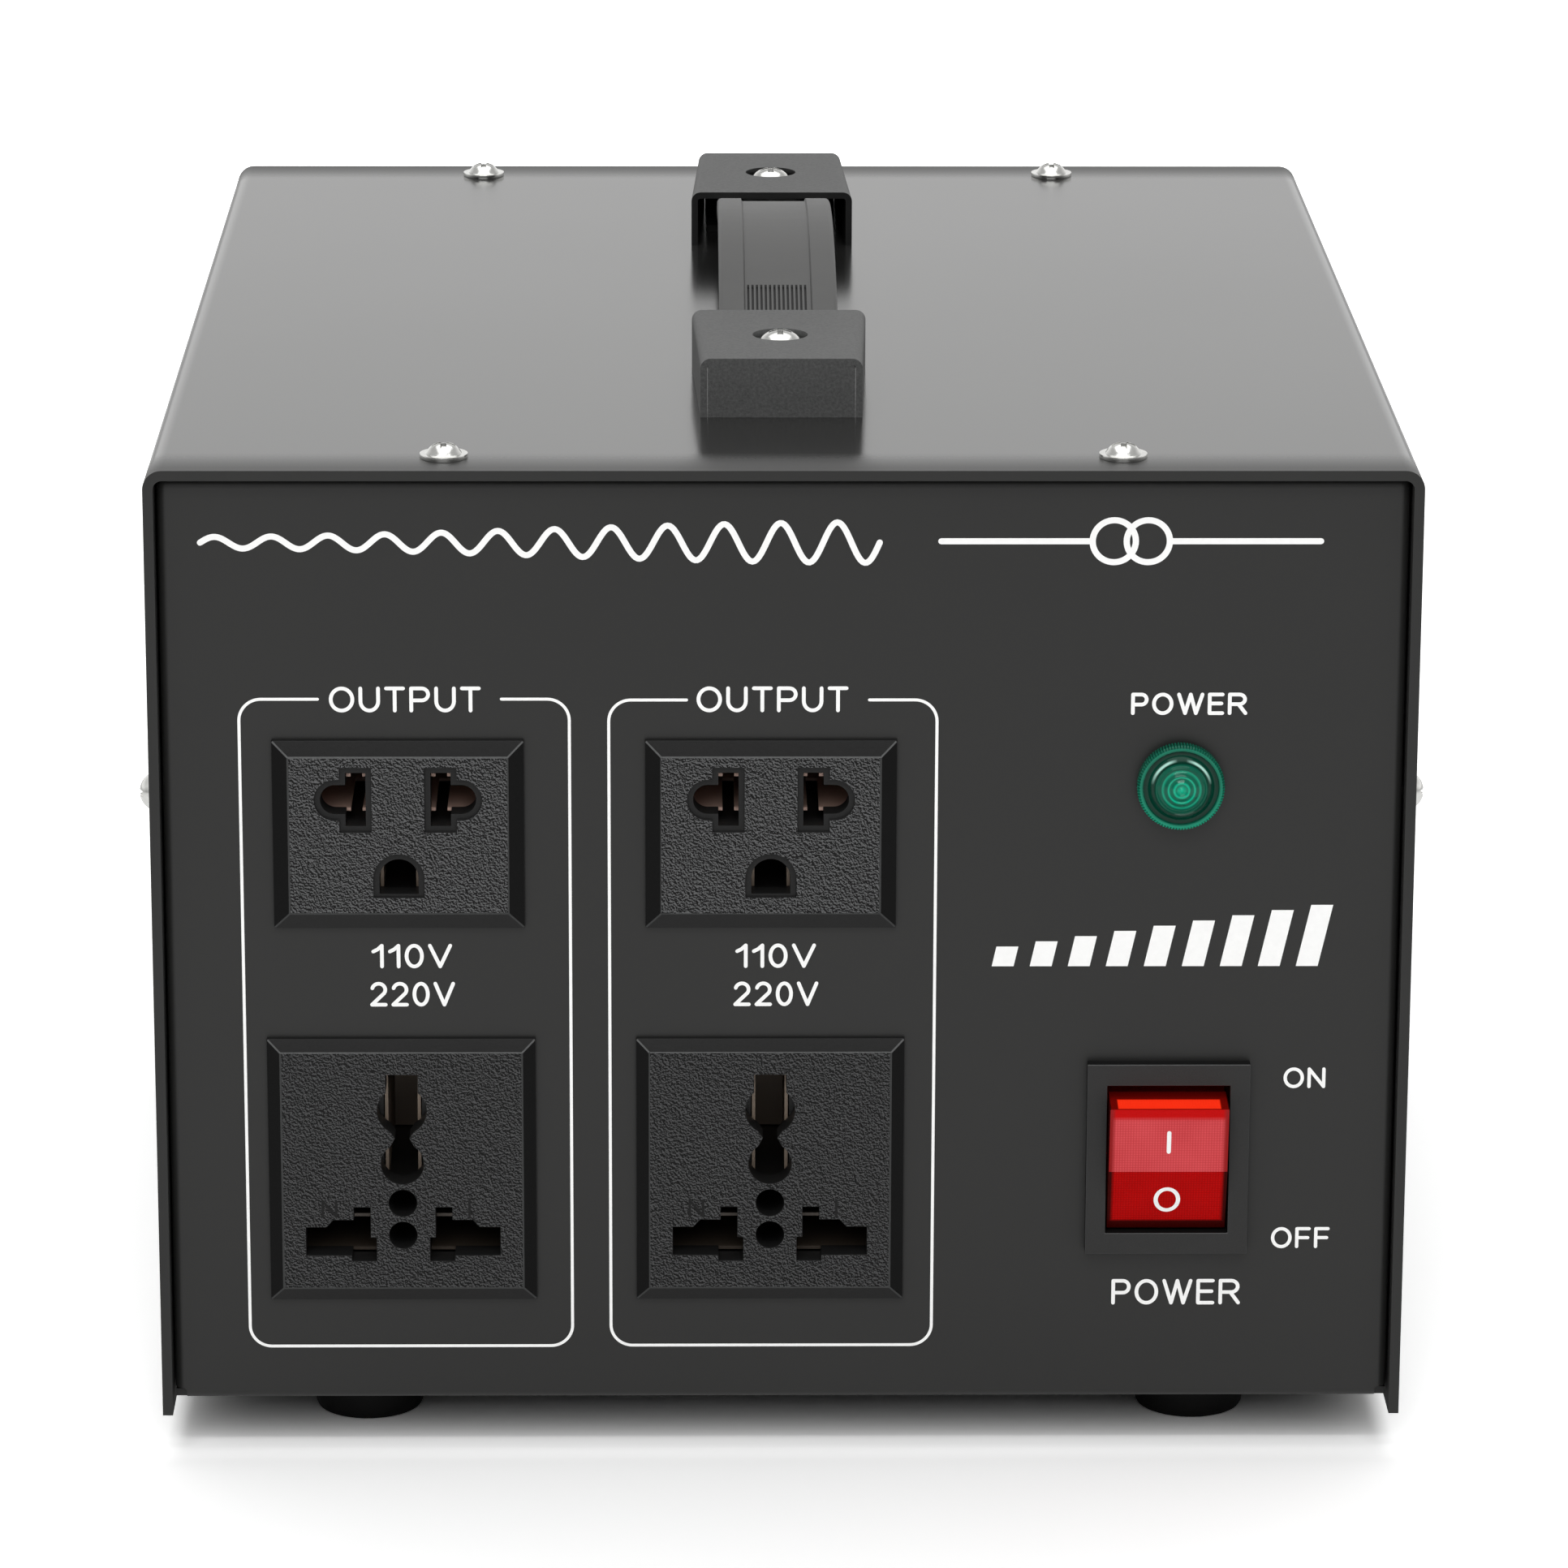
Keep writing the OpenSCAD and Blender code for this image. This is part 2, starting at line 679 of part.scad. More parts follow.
module cover() {
    half_w = body_w / 2;
    low_z = tray_z - cover_skirt;
    color([0.1, 0.1, 0.1])
        difference() {
            rotate([90, 0, 0])
                linear_extrude(body_d, center = true)
                    difference() {
                        cover_outline(half_w, cover_top, low_z, cover_bend_r);
                        cover_outline(half_w - cover_t, cover_top - cover_t, low_z - overrun,
                            cover_bend_r - cover_t);
                    }
            corners(top_screw_x, body_d / 2 - top_screw_inset)
                translate([0, 0, tray_top - overrun])
                    cylinder(r = case_screw_r + screw_clear, h = cover_t + 2 * overrun, $fn = 24);
            for (s = [-1, 1])
                translate([0, s * handle_screw_y, tray_top - overrun])
                    cylinder(r = handle_screw_r + thread_clear, h = cover_t + 2 * overrun, $fn = 24);
            for (s = [-1, 1])
                translate([0, s * (body_d / 2 - side_screw_inset), side_screw_z])
                    rotate([0, 90, 0])
                        cylinder(r = case_screw_r + screw_clear, h = body_w + 2 * overrun, center = true,
                            $fn = 24);
            for (z = [side_row_low_z, side_row_high_z])
                for (i = [0 : side_slot_count - 1])
                    translate([0, (i - (side_slot_count - 1) / 2) * slot_pitch, z])
                        rotate([90, 0, 90])
                            linear_extrude(body_w + 2 * overrun, center = true)
                                slot_2d(slot_w, side_slot_l);
        }
}

// End panel with its bends and flanges, drawn for the front
module end_panel() {
    plate_half = tray_half - tray_bend_r;
    low_z = tray_z + tray_bend_r;
    rotate([90, 0, 90])
        linear_extrude(2 * plate_half, center = true) {
            translate([front_y, low_z])
                square([tray_t, flange_top_z - low_z]);
            translate([front_y + tray_bend_r, flange_top_z])
                mirror([0, 1])
                    bend_2d(tray_bend_r, tray_t);
            translate([front_y + tray_bend_r, tray_top - tray_t])
                square([top_flange_d - tray_bend_r, tray_t]);
        }
    rotate([90, 0, 90])
        linear_extrude(2 * (tray_half - corner_relief), center = true)
            translate([front_y + tray_bend_r, low_z])
                bend_2d(tray_bend_r, tray_t);
    for (s = [-1, 1])
        translate([0, 0, tray_z + corner_relief])
            linear_extrude(tray_top - corner_relief - tray_z - corner_relief)
                scale([s, 1]) {
                    translate([tray_half - tray_bend_r, front_y + tray_bend_r])
                        mirror([1, 0])
                            bend_2d(tray_bend_r, tray_t);
                    translate([tray_half - tray_t, front_y + tray_bend_r])
                        square([tray_t, side_flange_d - tray_bend_r]);
                }
}

module tray() {
    color([0.13, 0.13, 0.13])
        difference() {
            union() {
                block(2 * tray_half, 2 * (rear_y - tray_bend_r), tray_t, tray_z);
                end_panel();
                mirror([0, 1, 0])
                    end_panel();
            }
            on_front(left_outlet_x, upper_outlet_z)
                panel_cut(neck_w_upper, neck_h_upper);
            on_front(right_outlet_x, upper_outlet_z)
                panel_cut(neck_w_upper, neck_h_upper);
            on_front(left_outlet_x, lower_outlet_z)
                panel_cut(neck_w_lower, neck_h_lower);
            on_front(right_outlet_x, lower_outlet_z)
                panel_cut(neck_w_lower, neck_h_lower);
            on_front(switch_x, switch_z)
                panel_cut(switch_neck_w, switch_neck_h);
            on_front(lamp_x, lamp_z)
                round_cut(lamp_barrel_r + panel_fit);
            on_rear(breaker_x, breaker_z)
                round_cut(breaker_neck_r + panel_fit);
            on_rear(selector_x, selector_z) {
                panel_cut(selector_box_w, selector_box_h);
                both_sides(selector_screw_span / 2)
                    round_cut(selector_screw_r + thread_clear);
            }
            on_rear(gland_x, gland_z)
                round_cut(gland_thread_r + thread_clear);
            for (i = [0 : rear_slot_count - 1])
                on_rear((i - (rear_slot_count - 1) / 2) * slot_pitch, rear_row_z)
                    translate([0, 0, -tray_t - overrun])
                        linear_extrude(tray_t + 2 * overrun)
                            slot_2d(slot_w, rear_slot_l);
            corners(top_screw_x, body_d / 2 - top_screw_inset)
                translate([0, 0, tray_top - tray_t - overrun])
                    cylinder(r = case_screw_r + thread_clear, h = tray_t + 2 * overrun, $fn = 24);
            for (s = [-1, 1])
                translate([0, s * (body_d / 2 - side_screw_inset), side_screw_z])
                    rotate([0, 90, 0])
                        cylinder(r = case_screw_r + thread_clear, h = body_w, center = true, $fn = 24);
            corners(foot_x, body_d / 2 - foot_inset)
                translate([0, 0, tray_z - overrun])
                    cylinder(r = handle_screw_r + thread_clear, h = tray_t + 2 * overrun, $fn = 24);
            translate([0, ring_y, tray_z - overrun])
                cylinder(r = bolt_r + thread_clear, h = tray_t + 2 * overrun, $fn = 32);
        }
}

// Rectangular opening through a panel, with the panel's outside at Z = 0
module panel_cut(w, h) {
    block(w + 2 * panel_fit, h + 2 * panel_fit, tray_t + 2 * overrun, -tray_t - overrun);
}

// Round opening through a panel, with the panel's outside at Z = 0
module round_cut(r) {
    translate([0, 0, -tray_t - overrun])
        cylinder(r = r, h = tray_t + 2 * overrun, $fn = 32);
}

module cover_top_screws() {
    color([0.82, 0.82, 0.8])
        corners(top_screw_x, body_d / 2 - top_screw_inset)
            translate([0, 0, cover_top])
                dome_screw(case_screw_r, case_screw_l, case_collar_r, case_head_r);
}

module cover_side_screws() {
    color([0.82, 0.82, 0.8])
        for (s = [-1, 1])
            for (y = [-1, 1])
                translate([s * body_w / 2, y * (body_d / 2 - side_screw_inset), side_screw_z])
                    rotate([0, s * 90, 0])
                        dome_screw(case_screw_r, case_screw_l, case_collar_r, case_head_r);
}

module feet() {
    color([0.06, 0.06, 0.06])
        corners(foot_x, body_d / 2 - foot_inset)
            difference() {
                cylinder(r1 = foot_bottom_r, r2 = foot_top_r, h = foot_h, $fn = 48);
                translate([0, 0, -overrun])
                    cylinder(r = foot_well_r, h = foot_h - foot_web + overrun, $fn = 32);
                cylinder(r = handle_screw_r + thread_clear, h = foot_h + overrun, $fn = 24);
            }
}

module foot_screws() {
    color([0.75, 0.75, 0.74])
        corners(foot_x, body_d / 2 - foot_inset)
            translate([0, 0, foot_h - foot_web])
                mirror([0, 0, 1])
                    dome_screw(handle_screw_r, handle_screw_l - foot_web, handle_head_r + case_gap,
                        handle_head_r);
}

module foot_nuts() {
    color([0.75, 0.75, 0.74])
        corners(foot_x, body_d / 2 - foot_inset)
            translate([0, 0, tray_floor])
                hex_nut(2 * handle_screw_r, handle_screw_r + thread_clear, handle_screw_r * 2 * nut_t_share);
}

// Cross-section of a cap's outside or inside, drawn as a thin slice at one end
module cap_slice(w, h, r, y) {
    translate([0, y, cover_top])
        rotate([90, 0, 0])
            linear_extrude(slice, center = true) {
                translate([-w / 2, 0])
                    square([w, h - r]);
                for (s = [-1, 1])
                    translate([s * (w / 2 - r), h - r])
                        circle(r, $fn = 32);
            }
}

// One folded cap, drawn at the rear with its open end towards the middle
module handle_cap() {
    inner_h = cap_h - cap_t;
    taper = (cap_mouth_w - cap_end_w) / cap_l;
    difference() {
        hull() {
            cap_slice(cap_mouth_w, cap_h, cap_bend_r, cap_mouth_y + slice / 2);
            cap_slice(cap_end_w, cap_h, cap_bend_r, cap_end_y - slice / 2);
        }
        hull() {
            cap_slice(cap_mouth_w - 2 * cap_t + taper * overrun, inner_h, cap_bend_r - cap_t,
                cap_mouth_y - overrun);
            cap_slice(cap_end_w - 2 * cap_t - taper * overrun, inner_h, cap_bend_r - cap_t,
                cap_end_y + overrun);
        }
        translate([0, handle_screw_y, cover_top + inner_h - overrun])
            cylinder(r = cap_hole_r, h = cap_t + 2 * overrun, $fn = 40);
    }
    difference() {
        union() {
            translate([0, cap_end_y - cap_t / 2, 0])
                block(cap_end_w - 2 * cap_t - 2 * cap_slit, cap_t, inner_h + join, cover_top);
            translate([0, (slot_in_y - bush_r + cap_end_y) / 2, 0])
                block(cap_end_w - 2 * cap_t - 2 * cap_slit, cap_end_y - slot_in_y + bush_r, cap_t, cover_top);
        }
        translate([0, handle_screw_y, cover_top - overrun])
            cylinder(r = handle_screw_r + thread_clear, h = cap_t + 2 * overrun, $fn = 24);
    }
}

module handle_cap_front() {
    color([0.17, 0.18, 0.18])
        mirror([0, 1, 0])
            handle_cap();
}

module handle_cap_rear() {
    color([0.17, 0.18, 0.18])
        handle_cap();
}

// Section of the strap with its recess, drawn upright with its top at a radius from the axis
module strap_section(top_r, up) {
    difference() {
        translate([up > 0 ? top_r - strap_t : top_r, -strap_w / 2])
            square([strap_t, strap_w]);
        translate([up > 0 ? top_r - band_depth : top_r - overrun, -strap_w / 2 + band_w])
            square([band_depth + overrun, strap_w - 2 * band_w]);
    }
}

// Turns a swept section so that it lies between two angles from the upright
module sweep(from, to) {
    rotate([0, 90, 0])
        rotate([0, 0, -to])
            rotate_extrude(angle = to - from, $fn = 360)
                children();
}

// Arched part of the strap between two angles from the upright
module strap_arch(from, to) {
    translate([0, 0, strap_centre_z])
        sweep(half_turn + from, half_turn + to)
            strap_section(strap_r, 1);
}

// Hollow curve of the strap between two angles from straight down, at the rear end
module strap_hollow(from, to) {
    translate([0, strap_flat_y, end_centre_z])
        sweep(from, to)
            strap_section(strap_end_r, -1);
}

module strap_grip() {
    color([0.36, 0.36, 0.36])
        strap_arch(-grip_angle, grip_angle);
}

// Ribbed bending zone of the strap at the rear
module strap_flex() {
    rib_pitch = (strap_w - 2 * band_w) / rib_count;
    difference() {
        union() {
            strap_arch(grip_angle, strap_turn);
            strap_hollow(0, strap_turn);
        }
        for (i = [0 : rib_count - 1])
            translate([(i - (rib_count - 1) / 2) * rib_pitch, 0, strap_centre_z])
                sweep(half_turn + grip_angle, half_turn + strap_turn)
                    translate([strap_r - rib_depth, -rib_pitch / 4])
                        square([rib_depth + overrun, rib_pitch / 2]);
    }
}

module strap_flex_front() {
    color([0.32, 0.32, 0.32])
        mirror([0, 1, 0])
            strap_flex();
}

module strap_flex_rear() {
    color([0.32, 0.32, 0.32])
        strap_flex();
}

// Flat strap end with the slot that runs along its bush, at the rear
module strap_end() {
    difference() {
        translate([0, (strap_flat_y + strap_tip_y) / 2, 0])
            block(strap_w, strap_tip_y - strap_flat_y, strap_t, cover_top + strap_low - strap_t);
        translate([0, (slot_in_y + slot_out_y) / 2, cover_top])
            linear_extrude(strap_low + overrun)
                slot_2d(2 * (bush_r + bush_clear), slot_out_y - slot_in_y);
    }
}

module strap_end_front() {
    color([0.34, 0.34, 0.34])
        mirror([0, 1, 0])
            strap_end();
}

module strap_end_rear() {
    color([0.34, 0.34, 0.34])
        strap_end();
}

module handle_bushes() {
    color([0.7, 0.7, 0.7])
        for (s = [-1, 1])
            translate([0, s * handle_screw_y, cover_top + cap_t])
                difference() {
                    cylinder(r = bush_r, h = bush_h, $fn = 32);
                    translate([0, 0, -overrun])
                        cylinder(r = handle_screw_r + thread_clear, h = bush_h + 2 * overrun, $fn = 24);
                }
}

module handle_screws() {
    color([0.85, 0.85, 0.83])
        for (s = [-1, 1])
            translate([0, s * handle_screw_y, head_seat_z])
                dome_screw(handle_screw_r, handle_screw_l, handle_head_r + case_gap, handle_head_r);
}

module handle_nuts() {
    color([0.75, 0.75, 0.74])
        for (s = [-1, 1])
            translate([0, s * handle_screw_y, tray_top - handle_screw_r * 2 * nut_t_share])
                hex_nut(2 * handle_screw_r, handle_screw_r + thread_clear, handle_screw_r * 2 * nut_t_share);
}

// Bevelled edge of an outlet in front of the panel
module outlet_rim(w, h, bevel) {
    block(w, h, flange_t);
    translate([0, 0, flange_t])
        linear_extrude(bevel_rise, scale = [(w - 2 * bevel) / w, (h - 2 * bevel) / h])
            square([w, h], center = true);
}

// Latches above and below an outlet's neck, behind the panel
module latches(h) {
    for (s = [-1, 1])
        translate([0, s * (h + latch_h - join) / 2, 0])
            block(latch_w, latch_h + join, latch_l, -tray_t - latch_gap - latch_l);
}

// Hole for a round pin joined to a slot for a flat blade, on the right
module blade_hole(grow) {
    translate([round_pin_x, pin_row_z])
        circle(round_pin_r + grow, $fn = 32);
    translate([blade_in_x - grow, pin_row_z - round_pin_r - grow])
        square([round_pin_x - blade_in_x + grow, 2 * (round_pin_r + grow)]);
    translate([blade_in_x - grow, pin_row_z - blade_slot_h / 2 - grow])
        square([blade_out_x - blade_in_x + 2 * grow, blade_slot_h + 2 * grow]);
}

// Arched hole for the earth pin of an upper outlet
module arch_hole(grow) {
    translate([0, -earth_arch_z])
        circle(earth_arch_r + grow, $fn = 32);
    translate([-earth_arch_r - grow, -earth_arch_z - earth_flat_h - grow / 2])
        square([2 * (earth_arch_r + grow), earth_flat_h + grow / 2]);
}

// All holes of an upper outlet
module upper_holes(grow) {
    blade_hole(grow);
    mirror([1, 0])
        blade_hole(grow);
    intersection() {
        arch_hole(grow);
        translate([-earth_arch_r - grow, -earth_arch_z - earth_flat_h - grow / 2])
            square([2 * (earth_arch_r + grow), earth_flat_h + earth_arch_r + 2 * grow]);
    }
}

module upper_face() {
    front_z = flange_t + bevel_rise;
    difference() {
        union() {
            outlet_rim(upper_w, upper_h, upper_bevel);
            block(neck_w_upper, neck_h_upper, face_wall, -face_wall);
        }
        translate([0, 0, -face_wall - overrun])
            linear_extrude(face_wall + front_z + 2 * overrun)
                upper_holes(0);
        translate([0, 0, front_z - rim_depth])
            linear_extrude(rim_depth + overrun)
                upper_holes(rim_w);
    }
}

// Extents of an upper outlet's live chamber
upper_live_x0 = blade_in_x - chamber_wall / 2;
upper_live_x1 = round_pin_x + round_pin_r + chamber_wall;
upper_live_z0 = pin_row_z - blade_slot_h / 2 - contact_gap;
upper_live_z1 = pin_row_z + blade_slot_h / 2 + contact_gap;
upper_earth_x = earth_arch_r + contact_gap;
upper_earth_z0 = -earth_arch_z - earth_flat_h - contact_gap;
upper_earth_z1 = -earth_arch_z + earth_arch_r + contact_gap;

// Extents of a lower outlet's chambers
lower_live_x0 = live_x[0] - contact_gap;
lower_live_x1 = live_x[6] + contact_gap * 2;
lower_live_z0 = -live_z[5] - contact_gap * 2;
lower_live_z1 = -live_z[0] + contact_gap;
lower_earth_x = live_x[0] - contact_gap * 6;
lower_earth_z0 = egg_z - egg_r - contact_gap * 2;
lower_earth_z1 = notch_top_z + contact_gap * 2;

// Chamber from the front wall to the back wall of an outlet
module chamber(x0, x1, z0, z1, depth) {
    translate([x0, z0, -depth + chamber_wall])
        cube([x1 - x0, z1 - z0, depth - chamber_wall - face_wall + overrun]);
}

// Slit in an outlet's back wall for a solder tab
module tab_slit(x, z, depth, turned) {
    translate([x, z, 0])
        rotate([0, 0, turned])
            block(tab_w + 2 * contact_gap, contact_t + 2 * contact_gap, chamber_wall + 2 * overrun,
                -depth - overrun);
}

// Channel contact with two leaves and a tab, its leaves a gap apart along its local Y
module channel_contact(w, gap, depth) {
    back = -depth + chamber_wall + contact_gap;
    front = -face_wall - contact_gap;
    for (s = [-1, 1])
        translate([0, s * (gap + contact_t) / 2, 0])
            block(w, contact_t, front - back, back);
    block(w, gap + 2 * contact_t, contact_t, back);
    block(tab_w, contact_t, tab_l + chamber_wall + contact_gap + contact_t, -depth - tab_l);
}

module upper_body() {
    live_mid = (upper_live_x0 + upper_live_x1) / 2;
    earth_mid = (upper_earth_z0 + upper_earth_z1) / 2;
    difference() {
        union() {
            block(neck_w_upper, neck_h_upper, upper_depth - face_wall, -upper_depth);
            difference() {
                latches(neck_h_upper);
                block(upper_w, 2 * upper_h, face_wall, -face_wall);
            }
        }
        for (m = [0, 1])
            mirror([m, 0, 0]) {
                chamber(upper_live_x0, upper_live_x1, upper_live_z0, upper_live_z1, upper_depth);
                tab_slit(live_mid, pin_row_z, upper_depth, 0);
            }
        chamber(-upper_earth_x, upper_earth_x, upper_earth_z0, upper_earth_z1, upper_depth);
        tab_slit(0, earth_mid, upper_depth, 90);
    }
}

module upper_contacts() {
    live_mid = (upper_live_x0 + upper_live_x1) / 2;
    live_w = upper_live_x1 - upper_live_x0 - 2 * contact_gap;
    earth_mid = (upper_earth_z0 + upper_earth_z1) / 2;
    for (m = [0, 1])
        mirror([m, 0, 0])
            difference() {
                translate([live_mid, pin_row_z, 0])
                    channel_contact(live_w, 2 * upper_leaf, upper_depth);
                translate([blade_mid_x, pin_row_z, 0])
                    block(rim_w * 2, blade_slot_h, upper_depth - face_wall - chamber_wall - tab_w,
                        -upper_depth + chamber_wall + tab_w);
            }
    translate([0, earth_mid, 0])
        rotate([0, 0, 90])
            channel_contact(upper_earth_z1 - upper_earth_z0 - 2 * contact_gap,
                2 * (upper_earth_x - contact_t - contact_gap), upper_depth);
}

// Outline of a lower outlet's live hole, on the right
module live_hole() {
    polygon([[live_x[6], -live_z[2]], [live_x[5], -live_z[2]], [live_x[4], -live_z[1]],
        [live_x[2], -live_z[1]], [live_x[2], -live_z[0]], [live_x[1], -live_z[0]],
        [live_x[1], -live_z[3]], [live_x[0], -live_z[3]], [live_x[0], -live_z[5]],
        [live_x[3], -live_z[5]], [live_x[3], -live_z[4]], [live_x[6], -live_z[4]]]);
}

// Neck that opens out into a round hole, above the hole for side 1 and below it for side -1
module neck_flare(r, z, side) {
    out_x = neck_reach_share * r * sin(neck_turn);
    out_z = z + side * neck_reach_share * r * cos(neck_turn);
    polygon([[-neck_x, neck_z], [neck_x, neck_z], [out_x, out_z], [-out_x, out_z]]);
}

// All holes of a lower outlet
module lower_holes() {
    live_hole();
    mirror([1, 0])
        live_hole();
    translate([-notch_x, earth_z])
        square([2 * notch_x, notch_top_z - earth_z]);
    translate([0, earth_z])
        circle(earth_r, $fn = 40);
    translate([0, egg_z])
        circle(egg_r, $fn = 40);
    neck_flare(earth_r, earth_z, -1);
    neck_flare(egg_r, egg_z, 1);
    for (z = [small_hole_z1, small_hole_z2])
        translate([0, -z])
            circle(small_hole_r, $fn = 32);
}

module lower_face() {
    front_z = flange_t + bevel_rise;
    difference() {
        union() {
            outlet_rim(lower_w, lower_h, lower_bevel);
            block(neck_w_lower, neck_h_lower, face_wall, -face_wall);
        }
        translate([0, 0, -face_wall - overrun])
            linear_extrude(face_wall + front_z + 2 * overrun)
                lower_holes();
    }
}

module lower_body() {
    live_mid = (lower_live_x0 + lower_live_x1) / 2;
    earth_mid = (lower_earth_z0 + lower_earth_z1) / 2;
    difference() {
        union() {
            block(neck_w_lower, neck_h_lower, lower_depth - face_wall, -lower_depth);
            difference() {
                latches(neck_h_lower);
                block(lower_w, 2 * lower_h, face_wall, -face_wall);
            }
        }
        for (m = [0, 1])
            mirror([m, 0, 0]) {
                chamber(lower_live_x0, lower_live_x1, lower_live_z0, lower_live_z1, lower_depth);
                tab_slit(live_mid, -live_mid_z, lower_depth, 0);
            }
        chamber(-lower_earth_x, lower_earth_x, lower_earth_z0, lower_earth_z1, lower_depth);
        tab_slit(0, earth_mid, lower_depth, 90);
        for (z = [small_hole_z1, small_hole_z2])
            translate([0, -z, -lower_depth / 2])
                cylinder(r = small_hole_r, h = lower_depth / 2 + overrun, $fn = 32);
    }
}

module lower_contacts() {
    live_mid = (lower_live_x0 + lower_live_x1) / 2;
    live_w = lower_live_x1 - lower_live_x0 - 2 * contact_gap;
    earth_mid = (lower_earth_z0 + lower_earth_z1) / 2;
    for (m = [0, 1])
        mirror([m, 0, 0])
            translate([live_mid, -live_mid_z, 0])
                channel_contact(live_w, live_z[4] - live_z[2] + 2 * contact_gap, lower_depth);
    translate([0, earth_mid, 0])
        rotate([0, 0, 90])
            channel_contact(lower_earth_z1 - lower_earth_z0 - 2 * contact_gap,
                2 * (lower_earth_x - contact_t - contact_gap), lower_depth);
}

module upper_left_outlet_face() {
    color([0.16, 0.17, 0.17])
        on_front(left_outlet_x, upper_outlet_z)
            upper_face();
}

module upper_left_outlet_body() {
    color([0.09, 0.09, 0.09])
        on_front(left_outlet_x, upper_outlet_z)
            upper_body();
}

module upper_left_outlet_contacts() {
    color([0.5, 0.3, 0.2])
        on_front(left_outlet_x, upper_outlet_z)
            upper_contacts();
}

module upper_right_outlet_face() {
    color([0.16, 0.17, 0.17])
        on_front(right_outlet_x, upper_outlet_z)
            upper_face();
}

module upper_right_outlet_body() {
    color([0.09, 0.09, 0.09])
        on_front(right_outlet_x, upper_outlet_z)
            upper_body();
}

module upper_right_outlet_contacts() {
    color([0.5, 0.3, 0.2])
        on_front(right_outlet_x, upper_outlet_z)
            upper_contacts();
}

module lower_left_outlet_face() {
    color([0.16, 0.17, 0.17])
        on_front(left_outlet_x, lower_outlet_z)
            lower_face();
}

module lower_left_outlet_body() {
    color([0.09, 0.09, 0.09])
        on_front(left_outlet_x, lower_outlet_z)
            lower_body();
}

module lower_left_outlet_contacts() {
    color([0.5, 0.3, 0.2])
        on_front(left_outlet_x, lower_outlet_z)
            lower_contacts();
}

module lower_right_outlet_face() {
    color([0.16, 0.17, 0.17])
        on_front(right_outlet_x, lower_outlet_z)
            lower_face();
}

module lower_right_outlet_body() {
    color([0.09, 0.09, 0.09])
        on_front(right_outlet_x, lower_outlet_z)
            lower_body();
}

module lower_right_outlet_contacts() {
    color([0.5, 0.3, 0.2])
        on_front(right_outlet_x, lower_outlet_z)
            lower_contacts();
}

module switch_housing() {
    color([0.14, 0.15, 0.15])
        on_front(switch_x, switch_z)
            difference() {
                union() {
                    block(switch_w, switch_h, switch_frame_t);
                    block(switch_neck_w, switch_neck_h, switch_depth, -switch_depth);
                    latches(switch_neck_h);
                }
                block(rocker_open_w, rocker_open_h, rocker_open_d + overrun, switch_frame_t - rocker_open_d);
                translate([0, 0, pivot_y])
                    rotate([0, 90, 0])
                        cylinder(r = pivot_r + pivot_clear, h = rocker_open_w + 2 * (pivot_reach + pivot_clear),
                            center = true, $fn = 32);
            }
}

module switch_rocker() {
    color([0.8, 0.06, 0.06])
        on_front(switch_x, switch_z)
            translate([0, 0, pivot_y])
                rotate([rocker_tilt, 0, 0]) {
                    rotate([90, 0, 90])
                        linear_extrude(rocker_w, center = true)
                            polygon([[0, rocker_ridge], [rocker_l, rocker_end],
                                [rocker_back_l, -rocker_back], [-rocker_back_l, -rocker_back],
                                [-rocker_l, rocker_end]]);
                    rotate([0, 90, 0])
                        cylinder(r = pivot_r, h = rocker_open_w + 2 * pivot_reach, center = true, $fn = 32);
                    both_sides(plunger_x)
                        translate([0, 0, -rocker_back - plunger_l])
                            cylinder(r = plunger_r, h = plunger_l + overrun, $fn = 24);
                }
}

module switch_tabs() {
    color([0.7, 0.68, 0.62])
        on_front(switch_x, switch_z)
            for (y = [-1, 0, 1])
                both_sides(plunger_x)
                    translate([0, y * switch_neck_h / 3, 0])
                        block(tab_w, contact_t, tab_l, -switch_depth - tab_l);
}

module lamp_lens() {
    color([0.1, 0.5, 0.4])
        on_front(lamp_x, lamp_z) {
            linear_extrude(lamp_rim_h)
                difference() {
                    circle(lamp_lens_r, $fn = 72);
                    for (i = [0 : lamp_grooves - 1])
                        rotate([0, 0, 360 * i / lamp_grooves])
                            translate([lamp_lens_r, 0])
                                circle(lamp_groove_r, $fn = 14);
                }
            translate([0, 0, lamp_rim_h])
                dome(lamp_dome_r, lamp_dome_h);
        }
}

module lamp_barrel() {
    color([0.12, 0.12, 0.12])
        on_front(lamp_x, lamp_z)
            translate([0, 0, -lamp_barrel_l])
                difference() {
                    cylinder(r = lamp_barrel_r, h = lamp_barrel_l, $fn = 40);
                    translate([0, 0, chamber_wall])
                        cylinder(r = lamp_bore_r, h = lamp_barrel_l, $fn = 32);
                    both_sides(lamp_bore_r / 2)
                        translate([0, 0, -overrun])
                            block(contact_t + 2 * contact_gap, bulb_r + 2 * contact_gap, 2 * chamber_wall);
                }
}

module lamp_nut() {
    color([0.75, 0.75, 0.72])
        on_front(lamp_x, lamp_z)
            translate([0, 0, -tray_t - lamp_nut_t])
                hex_nut(lamp_nut_r, lamp_barrel_r + thread_clear, lamp_nut_t);
}

module lamp_bulb() {
    color([0.9, 0.75, 0.6])
        on_front(lamp_x, lamp_z)
            translate([0, 0, -lamp_barrel_l + chamber_wall]) {
                translate([0, 0, contact_gap])
                    cylinder(r = bulb_r, h = bulb_l, $fn = 24);
                translate([0, 0, contact_gap + bulb_l])
                    dome(bulb_r, bulb_r);
                both_sides(lamp_bore_r / 2)
                    block(contact_t, bulb_r, tab_l + chamber_wall + 2 * contact_gap, -tab_l - chamber_wall);
            }
}

